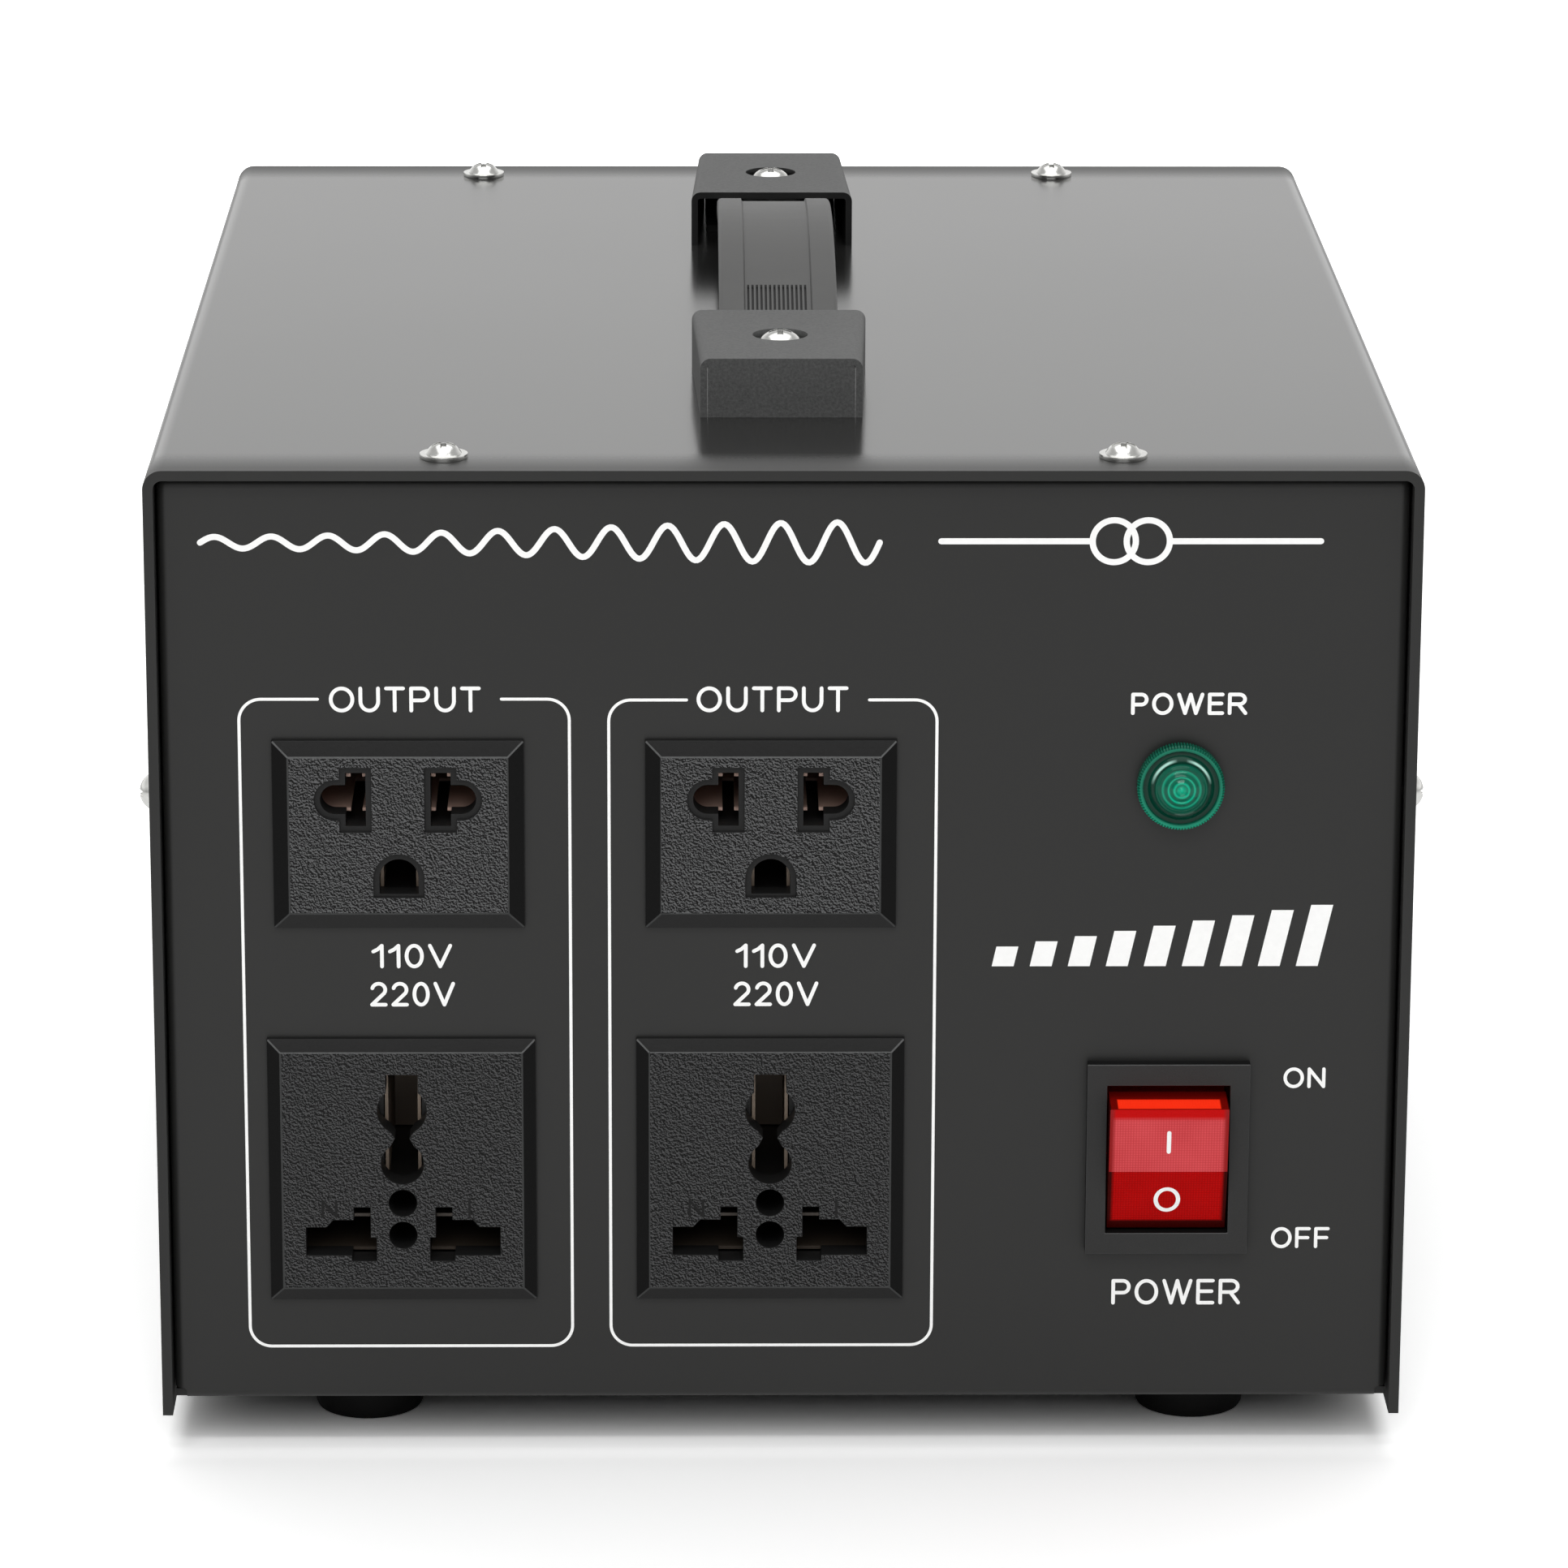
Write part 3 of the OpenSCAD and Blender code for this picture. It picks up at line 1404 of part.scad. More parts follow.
module breaker_case() {
    color([0.1, 0.1, 0.1])
        on_rear(breaker_x, breaker_z)
            difference() {
                union() {
                    block(breaker_w, breaker_h, breaker_d, -tray_t - breaker_d);
                    translate([0, 0, -tray_t - overrun])
                        cylinder(r = breaker_neck_r, h = breaker_neck_l + tray_t + overrun, $fn = 32);
                }
                translate([0, 0, -button_in])
                    cylinder(r = button_r + button_clear, h = button_in + breaker_neck_l + overrun, $fn = 32);
            }
}

module breaker_button() {
    color([0.75, 0.08, 0.06])
        on_rear(breaker_x, breaker_z)
            translate([0, 0, button_travel + contact_gap - button_in])
                cylinder(r = button_r, h = button_in - button_travel - contact_gap + breaker_neck_l + button_out,
                    $fn = 32);
}

module breaker_nut() {
    color([0.8, 0.8, 0.78])
        on_rear(breaker_x, breaker_z)
            hex_nut(breaker_nut_r, breaker_neck_r + thread_clear, breaker_nut_t);
}

module breaker_tabs() {
    color([0.7, 0.68, 0.62])
        on_rear(breaker_x, breaker_z)
            for (s = [-1, 1])
                translate([0, s * breaker_h / 3, 0])
                    block(tab_w, contact_t, tab_l, -tray_t - breaker_d - tab_l);
}

module selector_housing() {
    color([0.08, 0.08, 0.08])
        on_rear(selector_x, selector_z)
            difference() {
                union() {
                    block(selector_w, selector_h, selector_t);
                    block(selector_box_w, selector_box_h, selector_box_d, -selector_box_d);
                }
                block(window_w, window_h, window_d + overrun, selector_t - window_d);
                both_sides(selector_screw_span / 2)
                    translate([0, 0, -overrun])
                        cylinder(r = selector_screw_r + thread_clear, h = selector_t + 2 * overrun, $fn = 24);
            }
}

module selector_slider() {
    color([0.7, 0.08, 0.06])
        on_rear(selector_x + slider_travel / 2, selector_z)
            difference() {
                block(slider_w, window_h - 2 * slider_gap, window_d - slider_gap,
                    selector_t - window_d + slider_gap);
                block(cross_w, window_h, cross_depth + overrun, selector_t - cross_depth);
            }
}

module selector_screws() {
    color([0.8, 0.8, 0.78])
        on_rear(selector_x, selector_z)
            both_sides(selector_screw_span / 2)
                translate([0, 0, selector_t])
                    dome_screw(selector_screw_r, selector_screw_l, 2 * selector_screw_r, case_collar_r / 2);
}

module selector_nuts() {
    color([0.75, 0.75, 0.74])
        on_rear(selector_x, selector_z)
            both_sides(selector_screw_span / 2)
                translate([0, 0, -tray_t - 2 * selector_screw_r * nut_t_share])
                    hex_nut(selector_nut_r, selector_screw_r + thread_clear, 2 * selector_screw_r * nut_t_share);
}

module selector_tabs() {
    color([0.7, 0.68, 0.62])
        on_rear(selector_x, selector_z)
            for (x = [-1, 0, 1])
                for (y = [-1, 1])
                    translate([x * selector_box_w / 3, y * selector_box_h / 4, 0])
                        block(tab_w / 2, contact_t, tab_l / 2, -selector_box_d - tab_l / 2);
}

module gland_body() {
    color([0.1, 0.1, 0.1])
        on_rear(gland_x, gland_z)
            difference() {
                union() {
                    cylinder(r = gland_hex_r, h = gland_hex_t, $fn = hex_sides);
                    cylinder(r = gland_lip_r, h = gland_hex_t + gland_lip_t, $fn = 48);
                    translate([0, 0, -tray_t - gland_thread_l])
                        cylinder(r = gland_thread_r, h = gland_thread_l + tray_t + overrun, $fn = 40);
                }
                translate([0, 0, -tray_t - gland_thread_l - overrun])
                    cylinder(r = cable_r + seal_wall, h = 2 * (gland_thread_l + gland_hex_t), $fn = 40);
            }
}

module gland_seal() {
    color([0.05, 0.05, 0.05])
        on_rear(gland_x, gland_z)
            translate([0, 0, -tray_t - gland_thread_l])
                difference() {
                    cylinder(r = cable_r + seal_wall - thread_clear,
                        h = tray_t + gland_thread_l + gland_hex_t, $fn = 40);
                    translate([0, 0, -overrun])
                        cylinder(r = cable_r, h = 2 * (gland_thread_l + gland_hex_t), $fn = 40);
                }
}

module gland_lock_nut() {
    color([0.1, 0.1, 0.1])
        on_rear(gland_x, gland_z)
            translate([0, 0, -tray_t - gland_nut_t])
                hex_nut(gland_hex_r, gland_thread_r + thread_clear, gland_nut_t);
}

// Places the wound ring's pieces on its own middle
module at_ring(z) {
    translate([0, ring_y, z])
        children();
}

// Ring with a square section between two radii, centred on Z = 0
module ring_block(in_r, out_r, h) {
    rotate_extrude($fn = 96)
        translate([in_r, -h / 2])
            square([out_r - in_r, h]);
}

// Rounded section of the wound ring, made smaller all round by a depth
module ring_section(depth) {
    r = ring_round - depth;
    in_r = ring_hole_r + depth;
    out_r = ring_r - depth;
    half = ring_h / 2 - depth;
    translate([in_r + r, -half])
        square([out_r - in_r - 2 * r, 2 * half]);
    translate([in_r, -half + r])
        square([out_r - in_r, 2 * (half - r)]);
    for (x = [in_r + r, out_r - r])
        for (z = [-half + r, half - r])
            translate([x, z])
                circle(r, $fn = 32);
}

module core() {
    color([0.45, 0.46, 0.48])
        at_ring(ring_mid_z)
            ring_block(core_in_r, core_out_r, core_h);
}

module core_wrap() {
    color([0.85, 0.8, 0.6])
        at_ring(ring_mid_z)
            rotate_extrude($fn = 96)
                difference() {
                    translate([core_in_r - wrap_t, -core_h / 2 - wrap_t])
                        square([core_out_r - core_in_r + 2 * wrap_t, core_h + 2 * wrap_t]);
                    translate([core_in_r, -core_h / 2])
                        square([core_out_r - core_in_r, core_h]);
                }
}

module winding() {
    color([0.72, 0.35, 0.12])
        at_ring(ring_mid_z)
            rotate_extrude($fn = 96)
                difference() {
                    ring_section(tape_t);
                    translate([core_in_r - wrap_t, -core_h / 2 - wrap_t])
                        square([core_out_r - core_in_r + 2 * wrap_t, core_h + 2 * wrap_t]);
                }
}

module outer_tape() {
    color([0.85, 0.75, 0.25])
        at_ring(ring_mid_z)
            rotate_extrude($fn = 96)
                difference() {
                    ring_section(0);
                    ring_section(tape_t);
                }
}

module ring_pads() {
    color([0.08, 0.08, 0.08])
        for (z = [tray_floor, ring_base + ring_h])
            at_ring(z)
                difference() {
                    cylinder(r = pad_r, h = pad_t, $fn = 64);
                    translate([0, 0, -overrun])
                        cylinder(r = ring_hole_r, h = pad_t + 2 * overrun, $fn = 48);
                }
}

module clamp_dish() {
    slope_r = ring_hole_r - dish_t;
    color([0.75, 0.75, 0.74])
        at_ring(0)
            rotate_extrude($fn = 72)
                polygon([[bolt_r + thread_clear, dish_floor_top], [dish_floor_r, dish_floor_top],
                    [slope_r, dish_top], [dish_r, dish_top], [dish_r, dish_top - dish_t],
                    [slope_r + dish_t / 2, dish_top - dish_t], [dish_floor_r + dish_t, dish_floor_top - dish_t],
                    [bolt_r + thread_clear, dish_floor_top - dish_t]]);
}

module clamp_bolt() {
    color([0.75, 0.75, 0.74])
        at_ring(tray_z - bolt_head_t) {
            cylinder(r = bolt_hex_r, h = bolt_head_t, $fn = hex_sides);
            cylinder(r = bolt_r, h = dish_floor_top + bolt_nut_t + bolt_spare - tray_z + bolt_head_t, $fn = 32);
        }
}

module clamp_nut() {
    color([0.75, 0.75, 0.74])
        at_ring(dish_floor_top)
            hex_nut(bolt_hex_r, bolt_r + thread_clear, bolt_nut_t);
}

module terminal_block() {
    color([0.85, 0.84, 0.78])
        translate([block_x, block_y, tray_floor])
            difference() {
                block(block_l, block_w, block_h);
                for (i = [0 : block_poles - 1])
                    translate([(i - (block_poles - 1) / 2) * block_pitch, 0, 0]) {
                        translate([0, 0, block_h - block_screw_l])
                            cylinder(r = block_screw_r + thread_clear, h = block_screw_l + overrun, $fn = 24);
                        translate([0, 0, block_h / 2 - block_wire_r])
                            rotate([90, 0, 0])
                                cylinder(r = block_wire_r, h = block_w + 2 * overrun, center = true, $fn = 24);
                    }
            }
}

module terminal_screws() {
    color([0.8, 0.78, 0.6])
        translate([block_x, block_y, tray_floor + block_h - block_screw_l])
            for (i = [0 : block_poles - 1])
                translate([(i - (block_poles - 1) / 2) * block_pitch, 0, 0])
                    difference() {
                        cylinder(r = block_screw_r, h = block_screw_l - contact_gap, $fn = 24);
                        block(contact_t, 3 * block_screw_r, block_screw_l,
                            block_screw_l - contact_gap - cross_depth);
                    }
}

cover();
tray();
cover_top_screws();
cover_side_screws();
feet();
foot_screws();
foot_nuts();
handle_cap_front();
handle_cap_rear();
strap_grip();
strap_flex_front();
strap_flex_rear();
strap_end_front();
strap_end_rear();
handle_bushes();
handle_screws();
handle_nuts();
upper_left_outlet_face();
upper_left_outlet_body();
upper_left_outlet_contacts();
upper_right_outlet_face();
upper_right_outlet_body();
upper_right_outlet_contacts();
lower_left_outlet_face();
lower_left_outlet_body();
lower_left_outlet_contacts();
lower_right_outlet_face();
lower_right_outlet_body();
lower_right_outlet_contacts();
switch_housing();
switch_rocker();
switch_tabs();
lamp_lens();
lamp_barrel();
lamp_nut();
lamp_bulb();
breaker_case();
breaker_button();
breaker_nut();
breaker_tabs();
selector_housing();
selector_slider();
selector_screws();
selector_nuts();
selector_tabs();
gland_body();
gland_seal();
gland_lock_nut();
core();
core_wrap();
winding();
outer_tape();
ring_pads();
clamp_dish();
clamp_bolt();
clamp_nut();
terminal_block();
terminal_screws();
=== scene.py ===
import bpy
import json
import math
from mathutils import Matrix, Vector


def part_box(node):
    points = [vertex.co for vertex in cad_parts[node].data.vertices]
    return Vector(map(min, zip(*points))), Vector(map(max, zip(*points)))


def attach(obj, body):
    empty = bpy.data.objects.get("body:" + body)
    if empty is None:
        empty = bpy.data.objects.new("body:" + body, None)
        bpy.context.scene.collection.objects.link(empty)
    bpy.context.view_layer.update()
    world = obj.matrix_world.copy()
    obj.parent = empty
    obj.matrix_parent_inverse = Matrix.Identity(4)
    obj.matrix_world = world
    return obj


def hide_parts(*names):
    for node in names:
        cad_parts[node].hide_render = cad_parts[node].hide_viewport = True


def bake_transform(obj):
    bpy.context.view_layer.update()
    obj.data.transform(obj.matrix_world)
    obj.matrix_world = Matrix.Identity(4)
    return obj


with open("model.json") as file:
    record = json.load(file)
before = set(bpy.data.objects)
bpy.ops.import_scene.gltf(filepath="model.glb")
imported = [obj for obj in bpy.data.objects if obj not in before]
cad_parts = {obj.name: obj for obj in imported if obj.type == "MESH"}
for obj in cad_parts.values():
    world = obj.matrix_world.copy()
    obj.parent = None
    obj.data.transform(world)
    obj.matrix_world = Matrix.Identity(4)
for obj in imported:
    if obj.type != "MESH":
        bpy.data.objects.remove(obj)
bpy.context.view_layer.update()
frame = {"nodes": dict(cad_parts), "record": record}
nodes = frame["nodes"]
record = frame["record"]
bodyOf = {node: body for body, members in record["behaviour"]["bodies"].items() for node in members}
slotOf = {row["node"]: row["material_slot"] for row in record["subparts"]}
mm = 0.001
quarterTurn = math.pi / 2
fullTurn = 2 * math.pi
print("frame loaded:", len(nodes), "nodes")


class Strand:  # one socket, with arithmetic
    def __init__(self, recipe, socket):
        self.recipe = recipe
        self.socket = socket

    def math(self, operation, first, second=0.5):
        return self.recipe.math(operation, first, second)

    def __add__(self, other):
        return self.math("ADD", self, other)

    __radd__ = __add__

    def __sub__(self, other):
        return self.math("SUBTRACT", self, other)

    def __rsub__(self, other):
        return self.math("SUBTRACT", other, self)

    def __mul__(self, other):
        return self.math("MULTIPLY", self, other)

    __rmul__ = __mul__

    def __truediv__(self, other):
        return self.math("DIVIDE", self, other)

    def __mod__(self, other):
        return self.math("FLOORED_MODULO", self, other)

    def __pow__(self, other):
        return self.math("POWER", self, other)

    def __abs__(self):
        return self.math("ABSOLUTE", self)


class Recipe:  # the nodes of one material, or of the studio's air
    def __init__(self, owner):
        owner.use_nodes = True
        self.owner = owner
        self.nodes = owner.node_tree.nodes
        self.links = owner.node_tree.links
        self.nodes.clear()

    def node(self, kind, settings=None, inputs=None, outlet=0):
        made = self.nodes.new(kind)
        for key, value in (settings or {}).items():
            if key == "stops":
                self.setStops(made.color_ramp, value)
            else:
                setattr(made, key, value)
        for key, value in (inputs or {}).items():
            self.join(value, made.inputs[key])
        return Strand(self, made.outputs[outlet])

    def join(self, value, socket):
        if isinstance(value, Strand):
            self.links.new(value.socket, socket)
        else:
            socket.default_value = value

    def setStops(self, ramp, stops):
        while len(ramp.elements) < len(stops):
            ramp.elements.new(0.5)
        for element, (position, level) in zip(ramp.elements, stops):
            element.position = position
            element.color = grey(level)

    def math(self, operation, first, second):
        return self.node("ShaderNodeMath", {"operation": operation}, {0: first, 1: second})

    def axis(self, name, vector=None):
        return self.node("ShaderNodeSeparateXYZ", None, {0: vector or self.place}, name)

    def ramp(self, value, low, high):  # 0 at low, 1 at high
        return self.node("ShaderNodeMapRange", {"clamp": True}, {0: value, 1: low, 2: high, 3: 0, 4: 1})

    def span(self, value, low, high):  # the same with its ends in mm
        return self.ramp(value, low * mm, high * mm)

    def mix(self, share, first, second):
        made = self.nodes.new("ShaderNodeMix")
        made.data_type = "RGBA"
        self.join(share, made.inputs[0])
        self.join(first, made.inputs[6])
        self.join(second, made.inputs[7])
        return Strand(self, made.outputs[2])


class Finish(Recipe):  # a material with one shader, in the piece's own coordinates
    def __init__(self, name, **settings):
        super().__init__(bpy.data.materials.new(name))
        self.material = self.owner
        self.shader = self.nodes.new("ShaderNodeBsdfPrincipled")
        output = self.nodes.new("ShaderNodeOutputMaterial")
        self.links.new(self.shader.outputs[0], output.inputs["Surface"])
        for socket, value in settings.items():
            self.shader.inputs[shaderSockets[socket]].default_value = value
        self.place = self.node("ShaderNodeTexCoord", outlet="Object")

    def feed(self, socket, value):
        self.join(value, self.shader.inputs[socket])

    def shade(self, share, look):  # between the dark and the light tone of a look's colour
        return self.mix(share, tone(look["colour"], look["dark"]), tone(look["colour"], look["light"]))

    def noise(self, size, detail=2, roughness=0.5, at=None):  # size of a patch in mm
        return self.node("ShaderNodeTexNoise", None,
                         {"Vector": at or self.place, "Scale": 1 / (size * mm), "Detail": detail,
                          "Roughness": roughness})

    def turns(self, centre, count):  # saw line that repeats count times round an upright axis
        across = self.axis("X") - centre.x
        deep = self.axis("Y") - centre.y
        return (self.math("ARCTAN2", deep, across) * (count / fullTurn)) % 1

    def surface(self, colour, roughness, relief, depth):  # depth of the relief in mm
        self.feed("Base Color", colour)
        self.feed("Roughness", roughness)
        self.feed("Normal", self.node("ShaderNodeBump", None, {"Distance": depth * mm, "Height": relief}))
        return self.material


shaderSockets = {"ior": "IOR", "specular": "Specular IOR Level", "metallic": "Metallic",
                 "coat": "Coat Weight", "coatRoughness": "Coat Roughness",
                 "transmission": "Transmission Weight"}


def grey(level):
    return (level, level, level, 1)


def tone(colour, share):
    return tuple(channel * share for channel in colour[:3]) + (1,)


def satinPaint(name, look):  # sprayed and baked coat, slightly rippled
    paint = Finish(name, ior=look["ior"])
    cloud = paint.noise(look["cloud"], 3)
    ripple = paint.noise(look["ripple"], 3, 0.6)
    share = cloud * look["cloudShare"] + ripple * (1 - look["cloudShare"])
    ends = paint.span(abs(paint.axis("Y")), *look["ends"]) * look["endRoughness"]
    uneven = (cloud - 0.5) * look["unevenness"] + (ripple - 0.5) * look["fineUnevenness"]
    return paint.surface(paint.shade(share, look), look["roughness"] + ends + uneven, ripple, look["depth"])


def grainPlastic(name, look):  # leather grain of a moulded face, with painted light and shade on its relief as if lit from above
    plastic = Finish(name, specular=look["specular"])
    paintedLightSample = plastic.node("ShaderNodeVectorMath", {"operation": "ADD"},
                          {0: plastic.place, 1: (look["shift"] * 0.5 * mm, 0, look["shift"] * mm)})
    height, above = [plastic.node("ShaderNodeTexNoise", None, {
        "Vector": at, "Scale": 1 / (look["cell"] * mm), "Detail": look["detail"], "Roughness": 0.5,
        "Distortion": look["worms"]})
        for at in (plastic.place, paintedLightSample)]
    # painted light and shade: the grain's height against its height a little higher up
    share = plastic.ramp(height - above, 0, look["swing"])
    # the painted light on the grain is dimmer below 86 to 68 mm up
    lower = plastic.span(plastic.axis("Z"), *look["dim"])
    bright = plastic.mix(lower, tone(look["colour"], look["light"]), tone(look["colour"], look["lowLight"]))
    colour = plastic.mix(share, tone(look["colour"], look["dark"]), bright)
    return plastic.surface(colour, look["roughness"] - share * look["shine"], height, look["depth"])


def mouldedPlastic(name, look):  # plain moulding with a faint spark finish
    plastic = Finish(name, specular=look["specular"])
    fine = plastic.noise(look["grain"], 3, 0.6)
    broad = plastic.noise(look["grain"] * 40, 2)
    colour = plastic.shade(fine * 0.7 + broad * 0.3, look)
    return plastic.surface(colour, look["roughness"] + (fine - 0.5) * 0.1, fine, look["depth"])


def barMetal(name, look):  # plated or bare metal with fine wipe marks
    metal = Finish(name, metallic=look["metallic"])
    wipe = metal.node("ShaderNodeMapping", None, {"Vector": metal.place, "Scale": look["stretch"]})
    streak = metal.noise(look["grain"], 3, 0.6, wipe)
    colour = metal.mix(metal.noise(look["stain"], 3, 0.6), look["colour"], look["dullColour"])
    if "steelColour" in look:  # a leaf is brown in the upper slots and dark steel below them; in the lower outlets it has painted shade
        low = metal.span(metal.axis("Z"), *look["brown"])
        lowerOutletShade = metal.span(metal.axis("Z"), *look["low"])
        steel = metal.mix(lowerOutletShade, look["steelColour"], tone(look["steelColour"], look["shade"]))
        colour = metal.mix(low, colour, steel)
    return metal.surface(colour, look["roughness"] + streak * look["unevenness"], streak, look["depth"])


def softRubber(name, look):
    rubber = Finish(name, specular=look["specular"])
    dust = rubber.noise(look["dust"], 4, 0.65)
    fine = rubber.noise(look["grain"], 2)
    colour = rubber.mix(dust, tone(look["colour"], 0.8), tone(look["colour"], 1.2))
    return rubber.surface(colour, look["roughness"] + (dust - 0.5) * 0.12, fine, look["depth"])


def woundRing(name, look):  # wire or tape laid round the ring, turn beside turn
    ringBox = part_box("winding")
    wound = Finish(name, metallic=look["metallic"], coat=0.4, coatRoughness=0.18)
    turn = wound.turns((ringBox[0] + ringBox[1]) / 2, look["turns"])
    # colour runs from deepColour to colour across each turn; on round wire this is painted shade between
    # turns and painted light on crowns
    hump = turn * (1 - turn) * 4 if look["round"] else turn
    cloud = wound.noise(look["cloud"], 3)
    colour = wound.mix(hump * 0.6 + cloud * 0.4, look["deepColour"], look["colour"])
    return wound.surface(colour, look["roughness"] + cloud * 0.15, hump, look["depth"])


def inkPrint(name, look):  # screen print with slightly worn cover
    ink = Finish(name, ior=1.45)
    patch = ink.noise(look["patch"], 4, 0.7)
    colour = ink.mix(patch, tone(look["colour"], 0.9), look["colour"])
    return ink.surface(colour, look["roughness"] + patch * 0.1, patch, look["depth"])


coverLook = {"colour": (0.016, 0.016, 0.0155, 1), "dark": 0.85, "light": 1.15, "roughness": 0.17,
             "unevenness": 0.04, "fineUnevenness": 0.04, "cloud": 60, "cloudShare": 0.8, "ripple": 0.5,
             "depth": 0.004, "ior": 1.69, "endRoughness": 0.3, "ends": (108, 118)}
panelLook = dict(coverLook, colour=(0.0145, 0.0145, 0.0139, 1), roughness=0.42, depth=0.006, ior=1.42,
                 endRoughness=0)
capLook = dict(coverLook, colour=(0.073, 0.074, 0.0735, 1), dark=0.25, light=1.75, roughness=0.55,
               unevenness=0.06, cloud=14, cloudShare=0.15, ripple=0.45, depth=0.06, ior=1.38, endRoughness=0)
grainLook = {"colour": (0.034, 0.0345, 0.035, 1), "dark": 0, "light": 2.9, "lowLight": 1.75, "dim": (86, 68),
             "roughness": 0.55, "shine": 0.1, "cell": 0.31, "detail": 1.5, "shift": 0.12, "worms": 0.3,
             "swing": 0.04, "depth": 0.16, "specular": 0.22}
bevelLook = {"colour": grey(0.0095), "dark": 0.6, "light": 1.4, "roughness": 0.45, "grain": 0.5,
             "depth": 0.02, "specular": 0.22}
# a darker copy of the bevel: painted shade on the side bevels
paintedShadeSideBevelLook = dict(bevelLook, colour=grey(0.003), specular=0.1)
# lighter and darker copies for eased edges: painted highlight and painted shade
paintedHighlightEdgeLook = dict(bevelLook, colour=(0.09, 0.092, 0.092, 1), dark=0.5, light=1.5, grain=0.4)
paintedShadeEdgeLook = dict(paintedHighlightEdgeLook, colour=(0.035, 0.036, 0.036, 1))
# near black: painted shade in sunk marks and on the switch housing's walls
paintedShadeLook = dict(bevelLook, colour=grey(0.005))
paintedGrooveShadeLook = dict(bevelLook, colour=grey(0.01))
innerLook = {"colour": grey(0.007), "dark": 0.75, "light": 1.25, "roughness": 0.4, "grain": 0.6,
             "depth": 0.01, "specular": 0.4}
bezelLook = {"colour": (0.017, 0.017, 0.0168, 1), "dark": 0.5, "light": 1.5, "roughness": 0.52, "grain": 0.3,
             "depth": 0.03, "specular": 0.35}
# painted red reflection of the rocker on the walls of its opening
paintedRockerReflectionLook = dict(bezelLook, colour=(0.42, 0.017, 0.007, 1), specular=0.1)
creamLook = {"colour": (0.7, 0.68, 0.6, 1), "dark": 0.85, "light": 1.1, "roughness": 0.45, "grain": 0.5,
             "depth": 0.01, "specular": 0.5}
zincLook = {"colour": (0.8, 0.8, 0.78, 1), "dullColour": (0.56, 0.56, 0.54, 1), "metallic": 1,
            "roughness": 0.14, "unevenness": 0.12, "grain": 0.5, "stain": 2.5, "depth": 0.008,
            "stretch": (1, 1, 1)}
leafLook = {"colour": (0.62, 0.42, 0.35, 1), "dullColour": (0.44, 0.3, 0.24, 1), "metallic": 0.2,
            "roughness": 0.3, "unevenness": 0.2, "grain": 0.4, "stain": 3, "depth": 0.01,
            "steelColour": (0.24, 0.185, 0.14, 1), "brown": (98, 97.5), "low": (45, 44), "shade": 0.25,
            "stretch": (1, 1, 1)}
tinLook = {"colour": (0.72, 0.7, 0.64, 1), "dullColour": (0.5, 0.46, 0.38, 1), "metallic": 1,
           "roughness": 0.3, "unevenness": 0.2, "grain": 0.5, "stain": 3, "depth": 0.01,
           "stretch": (1, 0.2, 1)}
coreLook = {"colour": (0.36, 0.37, 0.4, 1), "dullColour": (0.24, 0.25, 0.27, 1), "metallic": 1,
            "roughness": 0.35, "unevenness": 0.2, "grain": 0.6, "stain": 12, "depth": 0.02,
            "stretch": (1, 1, 0.05)}
footLook = {"colour": grey(0.004), "roughness": 0.6, "dust": 5, "grain": 0.5, "depth": 0.03, "specular": 0.2}
strapLook = {"colour": (0.063, 0.063, 0.062, 1), "roughness": 0.5, "dust": 9, "grain": 0.25, "depth": 0.012,
             "specular": 0.4}
inkLook = {"colour": (0.98, 0.98, 0.97, 1), "patch": 1.2, "roughness": 0.5, "depth": 0.006}
copperLook = {"turns": 180, "round": True, "metallic": 0.6, "colour": (0.8, 0.34, 0.12, 1),
              "deepColour": (0.25, 0.08, 0.03, 1), "roughness": 0.25, "cloud": 9, "depth": 0.4}
coreTapeLook = {"turns": 40, "round": False, "metallic": 0, "colour": (0.75, 0.68, 0.46, 1),
                "deepColour": (0.62, 0.54, 0.34, 1), "roughness": 0.35, "cloud": 7, "depth": 0.05}
outerTapeLook = dict(coreTapeLook, turns=46, colour=(0.8, 0.62, 0.12, 1), deepColour=(0.62, 0.44, 0.07, 1))

finishes = {
    "cover_paint": satinPaint("coverPaint", coverLook),
    "tray_paint": satinPaint("panelPaint", panelLook),
    "cap_paint": satinPaint("capPaint", capLook),
    "contact_brass": barMetal("contactLeaf", leafLook),
    "tinned_brass": barMetal("tinnedTab", tinLook),
    "black_rubber": softRubber("footRubber", footLook),
    "strap_grey": softRubber("strapRubber", strapLook),
    "outlet_grain": grainPlastic("outletGrain", grainLook),
    "black_plastic": mouldedPlastic("innerPlastic", innerLook),
    "switch_frame": mouldedPlastic("bezelPlastic", bezelLook),
    "core_steel": barMetal("coreSteel", coreLook),
    "insulation_tape": woundRing("coreTape", coreTapeLook),
    "copper_wire": woundRing("copperTurns", copperLook),
    "yellow_tape": woundRing("outerTape", outerTapeLook),
    "cream_plastic": mouldedPlastic("creamPlastic", creamLook),
    "zinc_steel": barMetal("zincPlate", zincLook),
}
outletPaints = [finishes["outlet_grain"], mouldedPlastic("outletBevel", bevelLook),
                mouldedPlastic("outletSideBevel", paintedShadeSideBevelLook), mouldedPlastic("outletEdge", paintedHighlightEdgeLook),
                mouldedPlastic("outletSoftEdge", paintedShadeEdgeLook)]
paintedGrooveShade = mouldedPlastic("strapGroove", paintedGrooveShadeLook)
paintedShadePlastic = mouldedPlastic("engravedMark", paintedShadeLook)
paintedRockerReflection = mouldedPlastic("switchRecess", paintedRockerReflectionLook)
whiteInk = inkPrint("whiteInk", inkLook)


